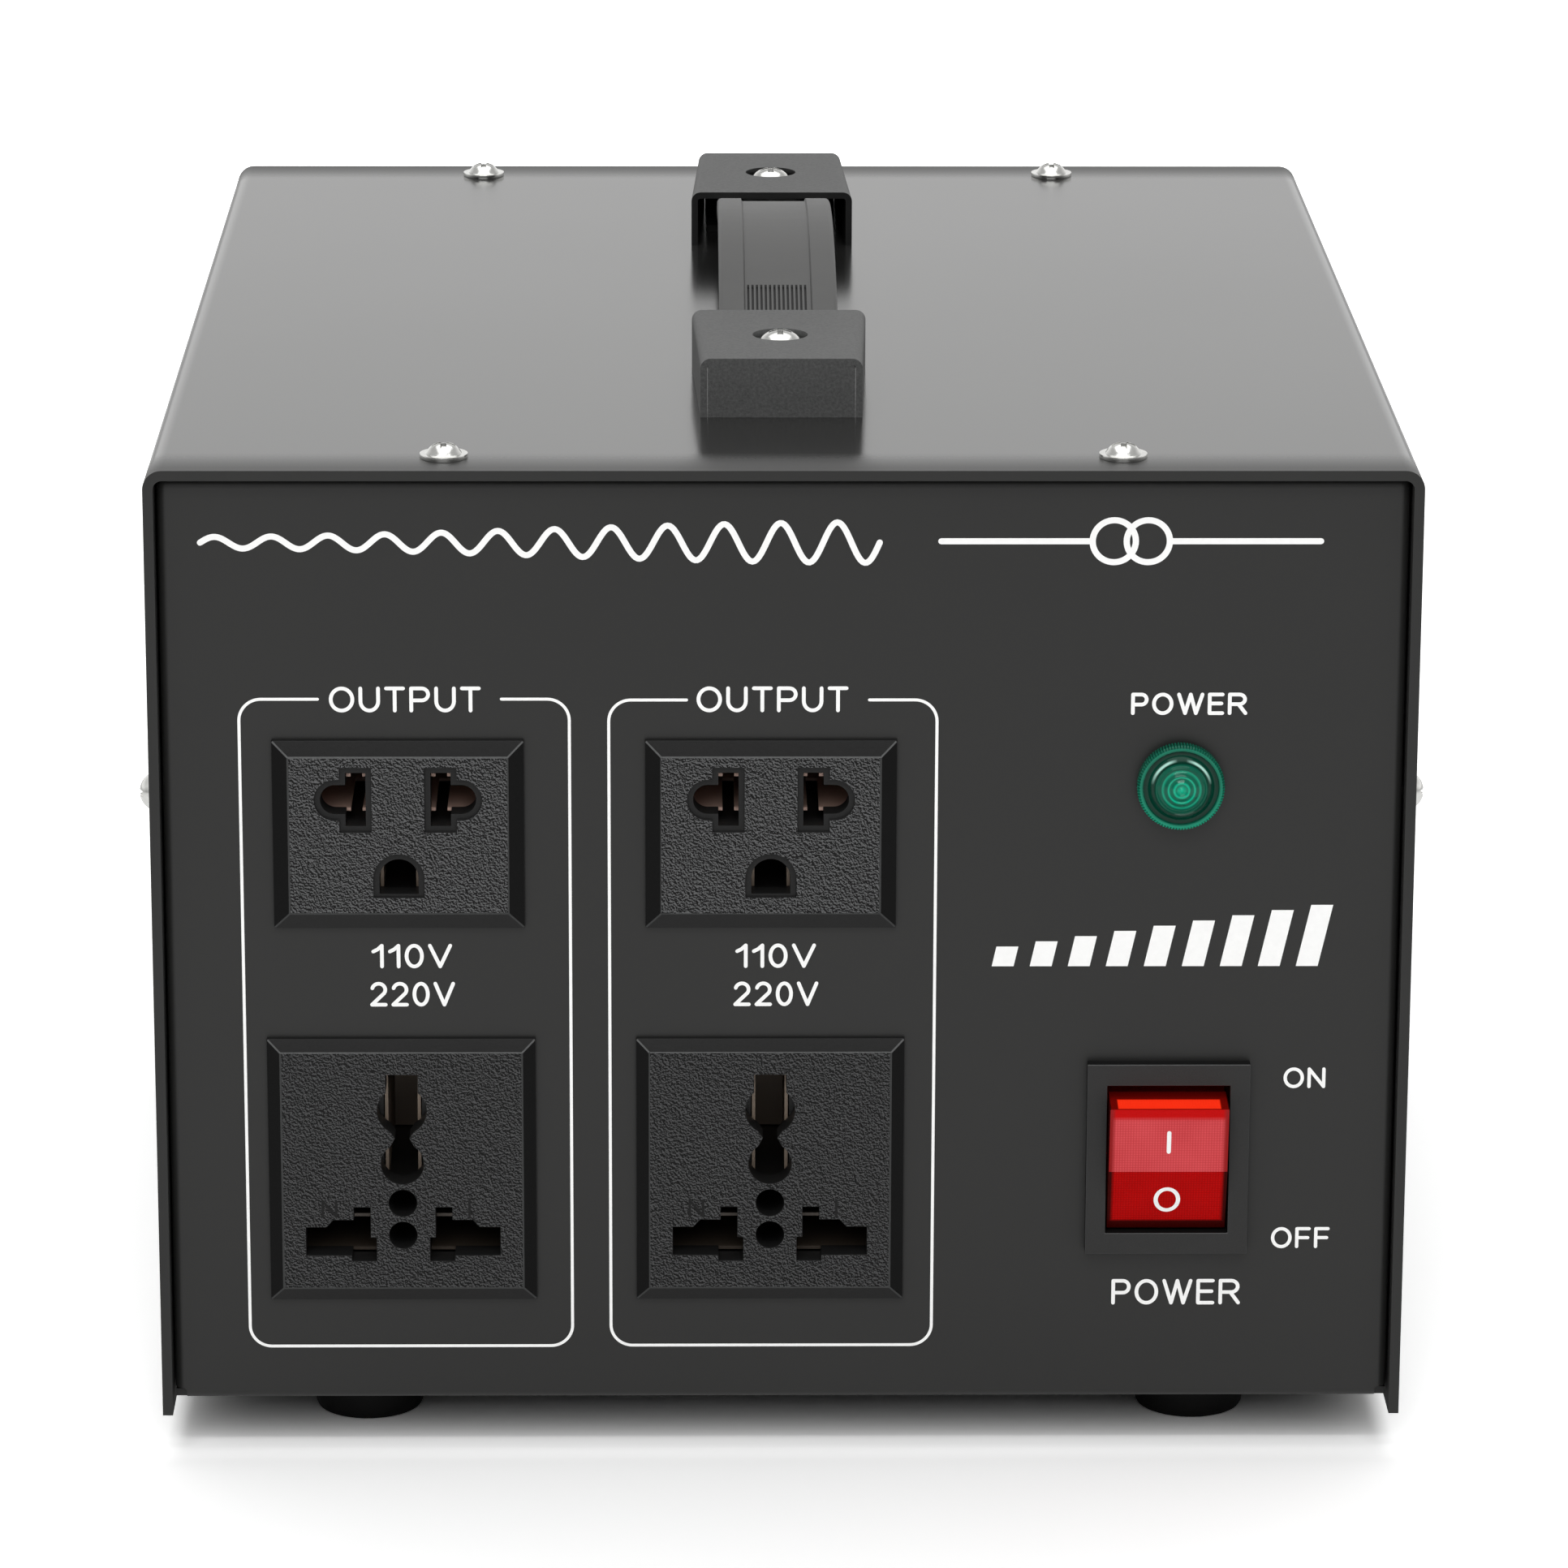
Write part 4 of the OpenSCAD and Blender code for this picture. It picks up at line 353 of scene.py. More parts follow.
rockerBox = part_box("switch_rocker")
rockerAxle = next(joint["pos_m"] for joint in record["behaviour"]["joints"]
                  if joint["name"] == "power_rocker")
rockerMiddle = Vector(((rockerBox[0].x + rockerBox[1].x) / 2, rockerAxle[1], rockerAxle[2]))
rockerLook = {  # each pair holds the two ends of a ramp, those of the dots as shares, the others in mm
    "specular": 0.04, "roughness": 0.3, "dot": 0.42, "dotRamp": (0.05, 0.5), "dotDepth": 0.02,
    "dotShare": 0.55, "cloud": 5, "brightHalf": (8.3, 8.9), "border": (1.7, 1.3), "lineAt": 0.3,
    "line": (0.14, 0.06), "paintedHighlightLineColour": (0.34, 0.07, 0.06, 1), "stripHalf": (7.9, 8.1),
    "stripDepth": (3.9, 4.1), "stripFront": (0.35, 0.25), "crown": (2.6, 1.8),
    "crownColour": (0.5, 0.004, 0.004, 1)}
rockerTones = {  # bright colour, colour between the dots, colour of the borders, painted glow
    "Lower": ((0.5, 0.002, 0.002, 1), (0.26, 0.0004, 0.0004, 1), (0.035, 0.0006, 0.0003, 1), 0.07),
    "Upper": ((0.68, 0.088, 0.098, 1), (0.45, 0.032, 0.038, 1), (0.27, 0.013, 0.014, 1), 0.09),
    "Strip": ((0.95, 0.034, 0.008, 1), (0.9, 0.023, 0.006, 1), (0.13, 0.002, 0.001, 1), 0.2),
    "Side": ((0.07, 0.002, 0.001, 1), (0.042, 0.0014, 0.0007, 1), (0.035, 0.001, 0.0007, 1), 0.05),
}


def rockerPlastic(part, tones):  # clear red moulding with fine dots behind its faces
    look = rockerLook
    bright, deep, border, paintedGlow = tones
    plastic = Finish("rocker" + part, specular=look["specular"])
    dots = 1
    for name in ("X", "Z"):
        dots = plastic.ramp((plastic.axis(name) / (look["dot"] * mm)) % 1, *look["dotRamp"]) * dots
    cloud = plastic.noise(look["cloud"], 2)
    across = abs(plastic.axis("X") - rockerMiddle.x)
    atSide = plastic.span(across, *look["brightHalf"])
    up = plastic.axis("Z") - rockerBox[0].z
    atFoot = plastic.span(up, *look["border"])
    edge = plastic.math("MAXIMUM", atSide, atFoot)
    if part == "Strip":  # the painted light of the top end keeps off the ends and the rear
        depth = plastic.axis("Y") - rockerBox[0].y
        behind = plastic.span(depth, *look["stripDepth"])
        before = plastic.span(depth, *look["stripFront"])
        aside = plastic.span(across, *look["stripHalf"])
        edge = plastic.math("MAXIMUM", aside, plastic.math("MAXIMUM", behind, before))
    # a painted highlight line just inside each side; the darker borders at sides and foot are partly the
    # clear rim, partly painted shade
    rim = (rockerBox[1].x - rockerBox[0].x) / 2 - look["lineAt"] * mm
    line = plastic.span(abs(across - rim), *look["line"])
    face = plastic.mix(dots * look["dotShare"] + cloud * (1 - look["dotShare"]), deep, bright)
    if part == "Upper":  # its crown is painted a deeper red than the painted reflection below it
        down = rockerBox[1].z - plastic.axis("Z")
        face = plastic.mix(plastic.span(down, *look["crown"]), face, look["crownColour"])
    colour = plastic.mix(line * (part != "Side"), plastic.mix(edge, face, border), look["paintedHighlightLineColour"])
    plastic.feed("Emission Color", colour)  # painted glow for daylight that the clear moulding lets through
    plastic.feed("Emission Strength", paintedGlow)
    return plastic.surface(colour, look["roughness"] + cloud * 0.06, dots, look["dotDepth"])


rockerPaints = {part: rockerPlastic(part, tones) for part, tones in rockerTones.items()}
finishes["rocker_red"] = rockerPaints["Lower"]
buttonLook = {"colour": (0.6, 0.02, 0.015, 1), "dark": 0.85, "light": 1.1, "roughness": 0.35, "grain": 0.6,
              "depth": 0.01, "specular": 0.5}
finishes["button_red"] = mouldedPlastic("buttonRed", buttonLook)

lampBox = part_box("lamp_lens")
lampX, lampZ = (lampBox[0].x + lampBox[1].x) / 2, (lampBox[0].z + lampBox[1].z) / 2
lensLook = {"radius": 6.8, "colour": (0.008, 0.44, 0.26, 1), "deepColour": (0.001, 0.01, 0.006, 1),
            "specular": 0.2, "roughness": 0.05, "cloud": 1.6, "knurlGlints": 90, "knurlGlintLight": 0.7,
            "footLight": 0.18, "glintAt": 0.67, "paintedGlintColour": (0.42, 0.72, 0.62, 1),
            "rings": [(0, 1), (0.07, 0.8), (0.13, 0.4), (0.17, 1), (0.21, 0.25), (0.27, 0.3), (0.3, 1),
                      (0.33, 0.25), (0.38, 0.2), (0.43, 0.7), (0.47, 0.15), (0.56, 0.22), (0.62, 0.04),
                      (0.72, 0.08), (0.83, 0.03), (0.87, 0.2), (0.92, 0.4), (0.95, 0.16), (1, 0.25)]}


def lensGreen(name, look):  # ringed jewel with painted light and shade ring by ring, and painted highlights
    lens = Finish(name, specular=look["specular"])
    across = (lens.axis("X") - lampX) / (look["radius"] * mm)
    along = (lens.axis("Z") - lampZ) / (look["radius"] * mm)
    radius = (across * across + along * along) ** 0.5
    rings = lens.node("ShaderNodeValToRGB", {"stops": look["rings"]}, {0: radius})
    cloud = lens.noise(look["cloud"], 2)
    turn = lens.math("ARCTAN2", along, across) * (look["knurlGlints"] / fullTurn)
    # painted glints on the knurl along the lower rim
    knurlGlint = lens.ramp(radius, 0.93, 0.96) * lens.ramp(turn % 1, 0.4, 0.7) * lens.ramp(along, 0.1, -0.7)
    # painted light on the lower rim
    foot = lens.ramp(radius, 0.85, 0.9) * lens.ramp(along, 0.2, -1)
    share = rings * (0.8 + cloud * 0.4) + foot * look["footLight"] + knurlGlint * look["knurlGlintLight"]
    green = lens.mix(share, look["deepColour"], look["colour"])
    # painted highlight arcs on the upper left and right
    paintedGlint = lens.ramp(abs(radius - look["glintAt"]), 0.035, 0.01)
    paintedGlint = paintedGlint * lens.ramp(along, 0.1, 0.4) * lens.ramp(abs(across), 0.1, 0.3)
    lens.feed("Base Color", lens.mix(paintedGlint, green, look["paintedGlintColour"]))
    lens.feed("Roughness", look["roughness"] + cloud * 0.04)
    return lens.material


finishes["lens_green"] = lensGreen("lensGreen", lensLook)
clearGlass = Finish("bulbGlass", transmission=0.8)
clearGlass.feed("Base Color", clearGlass.mix(clearGlass.noise(3), (0.9, 0.75, 0.6, 1), (0.8, 0.66, 0.55, 1)))
clearGlass.feed("Roughness", 0.05 + clearGlass.noise(2) * 0.06)
finishes["bulb_glass"] = clearGlass.material
print("finishes ready:", len(bpy.data.materials))


def deselect():
    if bpy.context.object and bpy.context.object.mode != "OBJECT":
        bpy.ops.object.mode_set(mode="OBJECT")
    bpy.ops.object.select_all(action="DESELECT")


def pick(piece):
    deselect()
    piece.select_set(True)
    bpy.context.view_layer.objects.active = piece


def modify(piece, kind, **settings):
    pick(piece)
    modifier = piece.modifiers.new(kind.lower(), kind)
    for key, value in settings.items():
        setattr(modifier, key, value)
    bpy.ops.object.modifier_apply(modifier=modifier.name)


def settle(piece):  # the place goes into the mesh
    pick(piece)
    bpy.ops.object.transform_apply(location=True, rotation=True, scale=True)


def joined(parts, name):
    deselect()
    for part in parts:
        part.select_set(True)
    bpy.context.view_layer.objects.active = parts[0]
    bpy.ops.object.join()
    bpy.context.object.name = name
    return bpy.context.object


def uprightSheet(x, z, width, height):  # a flat rectangle that faces the front, in mm
    bpy.ops.mesh.primitive_plane_add(size=1, rotation=(quarterTurn, 0, 0), location=(x * mm, 0, z * mm))
    piece = bpy.context.object
    piece.scale = (width * mm, height * mm, 1)
    settle(piece)
    return piece


def editFaces(piece, test):  # edit mode with the faces that pass the test selected
    pick(piece)
    bpy.ops.object.mode_set(mode="EDIT")
    bpy.ops.mesh.select_all(action="DESELECT")
    bpy.ops.mesh.select_mode(type="FACE")
    bpy.ops.object.mode_set(mode="OBJECT")
    for face in piece.data.polygons:
        face.select = bool(test(face))
    bpy.ops.object.mode_set(mode="EDIT")


def leaveEdit():
    bpy.ops.object.mode_set(mode="OBJECT")


def dress(piece, *materials):
    piece.data.materials.clear()
    for material in materials:
        piece.data.materials.append(material)


def smooth(piece, degrees):
    pick(piece)
    bpy.ops.object.shade_smooth_by_angle(angle=math.radians(degrees))


capForm = {"endHalf": 11.2, "closedHalf": 11.56, "reach": 0.08, "from": 83, "mouthHalf": 13}


def closeCorners(piece):  # the cap's end meets its sides in a fine groove
    for vertex in piece.data.vertices:
        across, along = abs(vertex.co.x) / mm, abs(vertex.co.y) / mm
        if abs(across - capForm["endHalf"]) < capForm["reach"] and along > capForm["from"]:
            vertex.co.x = math.copysign(capForm["closedHalf"] * mm, vertex.co.x)


mitreForm = {"shortest": 2.2, "depth": 1, "leastTurn": 10, "mostTurn": 30, "width": 0.14}


def markMitres(piece):  # the low edges where a bevel turns or meets the face
    form = mitreForm
    sides = {}
    for face in piece.data.polygons:
        for key in face.edge_keys:
            sides.setdefault(key, []).append(face.normal)
    weights = piece.data.attributes.new("bevel_weight_edge", "FLOAT", "EDGE")
    for edge in piece.data.edges:
        start, end = [piece.data.vertices[index].co for index in edge.vertices]
        normals = sides.get(tuple(sorted(edge.vertices)), [])
        long = (end - start).length > form["shortest"] * mm and abs(end.y - start.y) < form["depth"] * mm
        if len(normals) == 2 and long:
            turn = math.degrees(normals[0].angle(normals[1]))
            weights.data[edge.index].value = 1 if form["leastTurn"] < turn < form["mostTurn"] else 0


easeForm = {"weld": 0.002, "flat": 0.3, "sharp": 28, "soft": 40, "segments": 2, "weight": 60}


def easedCopy(node, width):  # the same solid with its sharp edges taken off
    piece = bpy.data.objects.new("eased_" + node, nodes[node].data.copy())
    bpy.context.collection.objects.link(piece)
    pick(piece)
    bpy.ops.mesh.customdata_custom_splitnormals_clear()
    bpy.ops.object.mode_set(mode="EDIT")
    bpy.ops.mesh.select_all(action="SELECT")
    bpy.ops.mesh.remove_doubles(threshold=easeForm["weld"] * mm)
    bpy.ops.mesh.dissolve_limited(angle_limit=math.radians(easeForm["flat"]))
    leaveEdit()
    dress(piece, finishes[slotOf[node]])
    if node.startswith("handle_cap"):
        closeCorners(piece)
    if node.endswith("outlet_face"):
        markMitres(piece)
        modify(piece, "BEVEL", width=mitreForm["width"] * mm, segments=1, limit_method="WEIGHT",
               use_clamp_overlap=True)
    modify(piece, "BEVEL", width=width * mm, segments=easeForm["segments"], limit_method="ANGLE",
           angle_limit=math.radians(easeForm["sharp"]), use_clamp_overlap=True, harden_normals=False)
    smooth(piece, easeForm["soft"])
    modify(piece, "WEIGHTED_NORMAL", keep_sharp=True, weight=easeForm["weight"])
    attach(piece, bodyOf[node])
    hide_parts(node)
    return piece


for node, thing in nodes.items():
    dress(thing, finishes[slotOf[node]])

easing = {  # width of the eased edge in mm
    "cover": 0.4, "tray": 0.25, "handle_cap_front": 0.22, "handle_cap_rear": 0.22,
    "cover_top_screws": 0.12, "cover_side_screws": 0.12, "handle_screws": 0.12, "feet": 0.7,
    "upper_left_outlet_face": 0.14, "upper_right_outlet_face": 0.14,
    "lower_left_outlet_face": 0.14, "lower_right_outlet_face": 0.14,
    "switch_housing": 0.25, "switch_rocker": 0.45, "gland_body": 0.4, "breaker_nut": 0.2,
    "breaker_button": 0.3, "selector_housing": 0.25, "selector_slider": 0.2,
}
eased = {node: easedCopy(node, width) for node, width in easing.items()}
print("edges eased on", len(eased), "pieces")

turned = {  # how far a face's normal leans towards the front or a side
    "flat": -0.9965, "bevel": -0.968, "steep": -0.93, "level": 0.1, "lit": 0.05, "front": -0.6, "down": -0.5,
    "aside": 0.8,
}
flatReach = 0.05  # mm behind an outlet's front that still count as its flat face
for node, piece in eased.items():  # grain only on the flat front of an outlet
    if node.endswith("outlet_face"):
        dress(piece, *outletPaints)
        outletFront = min(vertex.co.y for vertex in piece.data.vertices)
        for face in piece.data.polygons:
            normal = face.normal
            slope = turned["flat"] < normal.y < turned["steep"]
            if normal.y < turned["flat"] and face.center.y < outletFront + flatReach * mm:
                face.material_index = 0
            elif slope and normal.y > turned["bevel"]:  # the bevel itself, with painted shade on the side bevels
                face.material_index = 1 if abs(normal.z) > turned["level"] else 2
            elif slope:  # the eased edge round the face: painted highlight where it faces up, painted shade elsewhere
                face.material_index = 3 if normal.z > turned["lit"] else 4
            else:
                face.material_index = 1

for face in eased["cover"].data.polygons:  # the cut front edge mirrors less than the top
    face.material_index = 1 if face.normal.y < turned["front"] else 0
eased["cover"].data.materials.append(finishes["tray_paint"])

rearCap = eased["handle_cap_rear"]
rearCap.data.materials.append(finishes["black_plastic"])
for face in rearCap.data.polygons:  # painted shade: black on the front-facing edge and inside the mouth
    wall = abs(face.normal.x) > turned["aside"] and abs(face.center.x) < capForm["mouthHalf"] * mm
    inside = face.normal.z < turned["down"] or wall
    face.material_index = 1 if face.normal.y < turned["front"] or inside else 0

rockerForm = {"lowerFoot": -9.2, "barLift": 8, "barTurn": 0.6, "barAside": 0.3, "faceTurn": -0.9}
rocker = eased["switch_rocker"]
dress(rocker, *[rockerPaints[part] for part in ("Lower", "Upper", "Strip", "Side")])
# lower face, upper face with painted reflection, top end with painted light, the rest with painted shade
for face in rocker.data.polygons:
    lift = face.center.z - rockerMiddle.z
    bar = face.normal.z > rockerForm["barTurn"] and abs(face.normal.x) < rockerForm["barAside"]
    if face.normal.y < rockerForm["faceTurn"] and lift > rockerForm["lowerFoot"] * mm:
        face.material_index = 1 if lift > 0 else 0
    elif bar and lift > rockerForm["barLift"] * mm:
        face.material_index = 2
    else:
        face.material_index = 3

recessForm = {"halfWidth": 9.7, "halfHeight": 12.3, "depth": 9, "sideDepth": 4, "lipFrom": 0.3, "lipTo": 0.97,
              "litFrom": 0.2}
housing = eased["switch_housing"]
dress(housing, finishes["switch_frame"], paintedRockerReflection, outletPaints[4], outletPaints[3], paintedShadePlastic)
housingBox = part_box("switch_housing")
for face in housing.data.polygons:  # painted red reflection of the rocker on the walls round it; walls facing up or aside get painted shade
    across = abs(face.center.x - rockerMiddle.x) / mm
    up = abs(face.center.z - rockerMiddle.z) / mm
    wall = abs(face.normal.y) < 0.5 or face.center.y > rockerMiddle.y
    within = across < recessForm["halfWidth"] and up < recessForm["halfHeight"]
    if wall and within and face.center.y < rockerMiddle.y + recessForm["depth"] * mm:
        face.material_index = 4 if face.normal.z > 0.5 or abs(face.normal.x) > 0.5 else 1
    # the housing's lip: painted highlight where it faces up, painted shade elsewhere
    elif recessForm["lipFrom"] < -face.normal.y < recessForm["lipTo"]:
        face.material_index = 3 if face.normal.z > recessForm["litFrom"] else 2
    # painted shade on the housing's outer sides near the front
    elif (abs(face.normal.y) < recessForm["lipFrom"]
          and face.center.y < housingBox[0].y + recessForm["sideDepth"] * mm):
        face.material_index = 4
    else:
        face.material_index = 0


cornerForm = {"x": 94.0, "y": 116.4, "z": 156.8, "radius": 1.58}
balls = []
for x in (-cornerForm["x"], cornerForm["x"]):  # the tray's corners, welded and ground round
    for y in (-cornerForm["y"], cornerForm["y"]):
        bpy.ops.mesh.primitive_uv_sphere_add(segments=48, ring_count=24, radius=cornerForm["radius"] * mm,
                                             location=(x * mm, y * mm, cornerForm["z"] * mm))
        balls.append(bpy.context.object)
corners = joined(balls, "tray_corner_welds")
settle(corners)
smooth(corners, 40)
dress(corners, finishes["tray_paint"])
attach(corners, "case")


strapForm = {  # each bend: steps, centre across and up, and the way it turns
    "width": 19.2, "thickness": 3, "crest": 175, "turn": 17.87, "flatFrom": 56, "flatSteps": 8, "tipY": 77.3,
    "bends": ((26, 0, 22.5, 1), (8, 56, 196.2, -1)), "band": 4.3, "recess": 0.5, "corner": 0.75, "ribs": 14,
    "ribFrom": 34.5, "ribTo": 50, "ribDepth": 0.45, "ribInset": 0.3, "slotFrom": 63.2, "slotTo": 74.3,
    "slotRadius": 3.3, "slotZ": 165, "slotReach": 12, "bandSlope": 0.25, "near": 0.1, "weld": 0.002,
    "smooth": 35}


def strapHalf(name):  # drawn at the rear, from the crest to the tip
    form = strapForm
    inner = form["width"] / 2 - form["band"]
    piece = uprightSheet(0, form["crest"] - form["thickness"] / 2, form["width"], form["thickness"])
    piece.name = name
    bpy.ops.object.mode_set(mode="EDIT")
    bpy.ops.mesh.select_all(action="SELECT")
    bpy.ops.mesh.bevel(offset=form["corner"] * mm, segments=4, affect="VERTICES")
    for x in (-inner - form["bandSlope"], -inner, inner, inner + form["bandSlope"]):
        bpy.ops.mesh.select_all(action="SELECT")
        bpy.ops.mesh.bisect(plane_co=(x * mm, 0, 0), plane_no=(1, 0, 0))
    leaveEdit()
    for vertex in piece.data.vertices:  # the middle of the top lies lower than the side bands
        if (vertex.co.z > (form["crest"] - form["near"]) * mm
                and abs(vertex.co.x) < (inner + form["near"]) * mm):
            vertex.co.z -= form["recess"] * mm
    editFaces(piece, lambda face: True)
    for steps, y, z, way in form["bends"]:
        bpy.ops.mesh.spin(steps=steps, angle=math.radians(form["turn"]), dupli=False,
                          center=(0, y * mm, z * mm), axis=(way, 0, 0))
    step = (form["tipY"] - form["flatFrom"]) / form["flatSteps"]
    for _ in range(form["flatSteps"]):
        bpy.ops.mesh.extrude_region_move(TRANSFORM_OT_translate={"value": (0, step * mm, 0)})
    bpy.ops.mesh.select_all(action="SELECT")
    bpy.ops.mesh.remove_doubles(threshold=form["weld"] * mm)
    bpy.ops.mesh.normals_make_consistent(inside=False)
    leaveEdit()
    cutRibs(piece)
    cutSlot(piece)
    return piece


def cutRibs(piece):  # fine grooves in the recess near the cap, their floors painted dark as shade
    form = strapForm
    inner = form["width"] / 2 - form["band"]
    left = form["ribInset"] - inner
    pitch = -2 * left / form["ribs"]
    dress(piece, finishes["strap_grey"], paintedGrooveShade)

    def inZone(face):
        middle = face.center / mm
        return face.normal.z > 0.9 and form["ribFrom"] < middle.y < form["ribTo"] and abs(middle.x) < inner

    for index in range(2 * form["ribs"] + 1):
        editFaces(piece, inZone)
        bpy.ops.mesh.bisect(plane_co=((left + index * pitch / 2) * mm, 0, 0), plane_no=(1, 0, 0))
        leaveEdit()

    def inGroove(face):
        share = (face.center.x / mm - left) / pitch
        return inZone(face) and 0 < share < form["ribs"] and share % 1 < 0.5

    editFaces(piece, inGroove)
    bpy.ops.mesh.extrude_region_move(TRANSFORM_OT_translate={"value": (0, 0, -form["ribDepth"] * mm)})
    leaveEdit()
    for face in piece.data.polygons:  # the extruded floors are still selected, and get painted shade
        face.material_index = 1 if face.select else 0


def cutSlot(piece):  # the hole that runs along the bush
    form = strapForm
    middle = form["slotFrom"] + form["slotRadius"]
    bpy.ops.mesh.primitive_cylinder_add(vertices=32, radius=form["slotRadius"] * mm,
                                        depth=form["slotReach"] * mm,
                                        location=(0, middle * mm, form["slotZ"] * mm))
    cutter = bpy.context.object
    settle(cutter)
    stretch = form["slotTo"] - form["slotFrom"] - 2 * form["slotRadius"]
    for vertex in cutter.data.vertices:
        if vertex.co.y > (middle + form["weld"]) * mm:
            vertex.co.y += stretch * mm
    modify(piece, "BOOLEAN", object=cutter, operation="DIFFERENCE", solver="EXACT")
    bpy.data.objects.remove(cutter)


strapRear = strapHalf("strap_rear_half")
pick(strapRear)
bpy.ops.object.duplicate()
strapFront = bpy.context.object
strapFront.name = "strap_front_half"
strapFront.scale = (1, -1, 1)
settle(strapFront)
editFaces(strapFront, lambda face: True)
bpy.ops.mesh.flip_normals()
leaveEdit()
for piece, body, side, stoodFor in (
        (strapRear, "rear_strap_end", 1, ("strap_flex_rear", "strap_end_rear", "strap_grip")),
        (strapFront, "front_strap_end", -1, ("strap_flex_front", "strap_end_front"))):
    smooth(piece, strapForm["smooth"])
    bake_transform(piece)
    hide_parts(*stoodFor)
print("strap ready")


lampForm = {"rimRadius": 6.75, "rimHeight": 2.4, "rimWidth": 0.85, "lip": 0.35, "lipEase": 0.3, "foot": 0.15,
            "footEase": 0.2, "domeHeight": 1.5, "rings": 5, "ringDepth": 0.3, "ringSteps": 6, "crest": 0.74,
            "crestHalf": 0.07, "crestHeight": 0.3, "tip": 0.12, "knurls": 90, "knurlSteps": 4,
            "knurlDepth": 0.16, "knurlReach": 0.45, "smooth": 24}


def lampJewel():  # knurled rim round a ringed dome, turned from one circle
    form = lampForm
    panelY = lampBox[1].y
    outer, inner, height = form["rimRadius"], form["rimRadius"] - form["rimWidth"], form["rimHeight"]
    lip = height - form["lip"]
    outline = [(outer - form["foot"], 0), (outer, form["footEase"]), (outer, lip),
               (outer - form["lipEase"], height), (inner, height), (inner - form["foot"], lip)]
    count = form["rings"] * form["ringSteps"]
    for index in range(1, count + 1):  # from the dome's foot to its middle
        share = 1 - index / count
        rise = lip + (form["domeHeight"] + form["lip"]) * (1 - share * share)
        dip = form["ringDepth"] * (0.5 - 0.5 * math.cos(fullTurn * index / form["ringSteps"]))
        crest = form["crestHeight"] * max(0, 1 - abs(share - form["crest"]) / form["crestHalf"])
        outline.append((max((inner - form["footEase"]) * share, form["tip"]), rise - dip + crest))
    bpy.ops.mesh.primitive_circle_add(vertices=form["knurls"] * form["knurlSteps"], radius=outline[0][0] * mm,
                                      fill_type="NGON", rotation=(quarterTurn, 0, 0),
                                      location=(lampX, panelY, lampZ))
    piece = bpy.context.object
    piece.name = "lamp_jewel"
    settle(piece)
    bpy.ops.object.mode_set(mode="EDIT")
    bpy.ops.mesh.select_mode(type="FACE")
    bpy.ops.mesh.select_all(action="SELECT")
    for (wide, low), (narrow, high) in zip(outline, outline[1:]):
        bpy.ops.mesh.extrude_region_move(TRANSFORM_OT_translate={"value": (0, (low - high) * mm, 0)})
        bpy.ops.transform.resize(value=(narrow / wide, 1, narrow / wide),
                                 center_override=(lampX, panelY, lampZ))
    bpy.ops.mesh.select_all(action="SELECT")
    bpy.ops.mesh.normals_make_consistent(inside=False)
    leaveEdit()
    for vertex in piece.data.vertices:  # the knurl
        across, along = vertex.co.x - lampX, vertex.co.z - lampZ
        radius = math.hypot(across, along)
        if radius > (form["rimRadius"] - form["knurlReach"]) * mm:
            step = round(math.atan2(along, across) / fullTurn * form["knurls"] * form["knurlSteps"])
            if step % form["knurlSteps"] == 0:
                share = 1 - form["knurlDepth"] * mm / radius
                vertex.co.x = lampX + across * share
                vertex.co.z = lampZ + along * share
    smooth(piece, form["smooth"])
    dress(piece, finishes["lens_green"])
    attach(piece, "case")
    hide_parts("lamp_lens")


lampJewel()
print("lamp jewel ready")


printForm = {"thickness": 0.02, "lift": 0.005, "layer": 0.004, "letterLine": 0.58, "smallLine": 0.53,
             "frameLine": 0.46, "frameCorner": 3.4, "letterGap": 0.165, "endTurns": (35, 62, 86),
             "waveSteps": 320}
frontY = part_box("tray")[0].y


def arc(x, z, wide, high, start, end, steps=14):  # points on an ellipse, angles in degrees
    turns = [math.radians(start + (end - start) * index / steps) for index in range(steps + 1)]
    return [(x + wide * math.cos(turn), z + high * math.sin(turn)) for turn in turns]


letterForms = {  # width over height, then strokes in a box from 0 to 1
    "O": (0.98, [arc(0.5, 0.5, 0.5, 0.5, 90, 450, 40)]),
    "0": (0.73, [arc(0.5, 0.5, 0.5, 0.5, 90, 450, 40)]),
    "U": (0.83, [[(0, 1)] + arc(0.5, 0.42, 0.5, 0.42, 180, 360) + [(1, 1)]]),
    "T": (0.8, [[(0, 1), (1, 1)], [(0.5, 1), (0.5, 0)]]),
    "P": (0.8, [[(0, 0), (0, 1)], [(0, 1)] + arc(0.62, 0.73, 0.38, 0.27, 90, -90) + [(0, 0.46)]]),
    "W": (1.25, [[(0, 1), (0.27, 0)], [(0.27, 0), (0.5, 1)], [(0.5, 1), (0.73, 0)], [(0.73, 0), (1, 1)]]),
    "E": (0.76, [[(0, 1), (0, 0)], [(0, 1), (1, 1)], [(0, 0.52), (0.92, 0.52)], [(0, 0), (1, 0)]]),
    "R": (0.9, [[(0, 0), (0, 1)], [(0, 1)] + arc(0.6, 0.74, 0.36, 0.26, 90, -90) + [(0, 0.48)],
                [(0.55, 0.48), (1, 0)]]),
    "N": (0.86, [[(0, 0), (0, 1)], [(0, 1), (1, 0)], [(1, 0), (1, 1)]]),
    "F": (0.73, [[(0, 0), (0, 1)], [(0, 1), (1, 1)], [(0, 0.5), (0.9, 0.5)]]),
    "V": (0.92, [[(0, 1), (0.5, 0)], [(0.5, 0), (1, 1)]]),
    "I": (0.16, [[(0.5, 0), (0.5, 1)]]),
    "1": (0.47, [[(0, 0.72), (0.5, 0.82), (1, 1)], [(1, 1), (1, 0)]]),
    "2": (0.74, [arc(0.5, 0.71, 0.48, 0.29, 165, -35) + [(0, 0)], [(0, 0), (1, 0)]]),
}


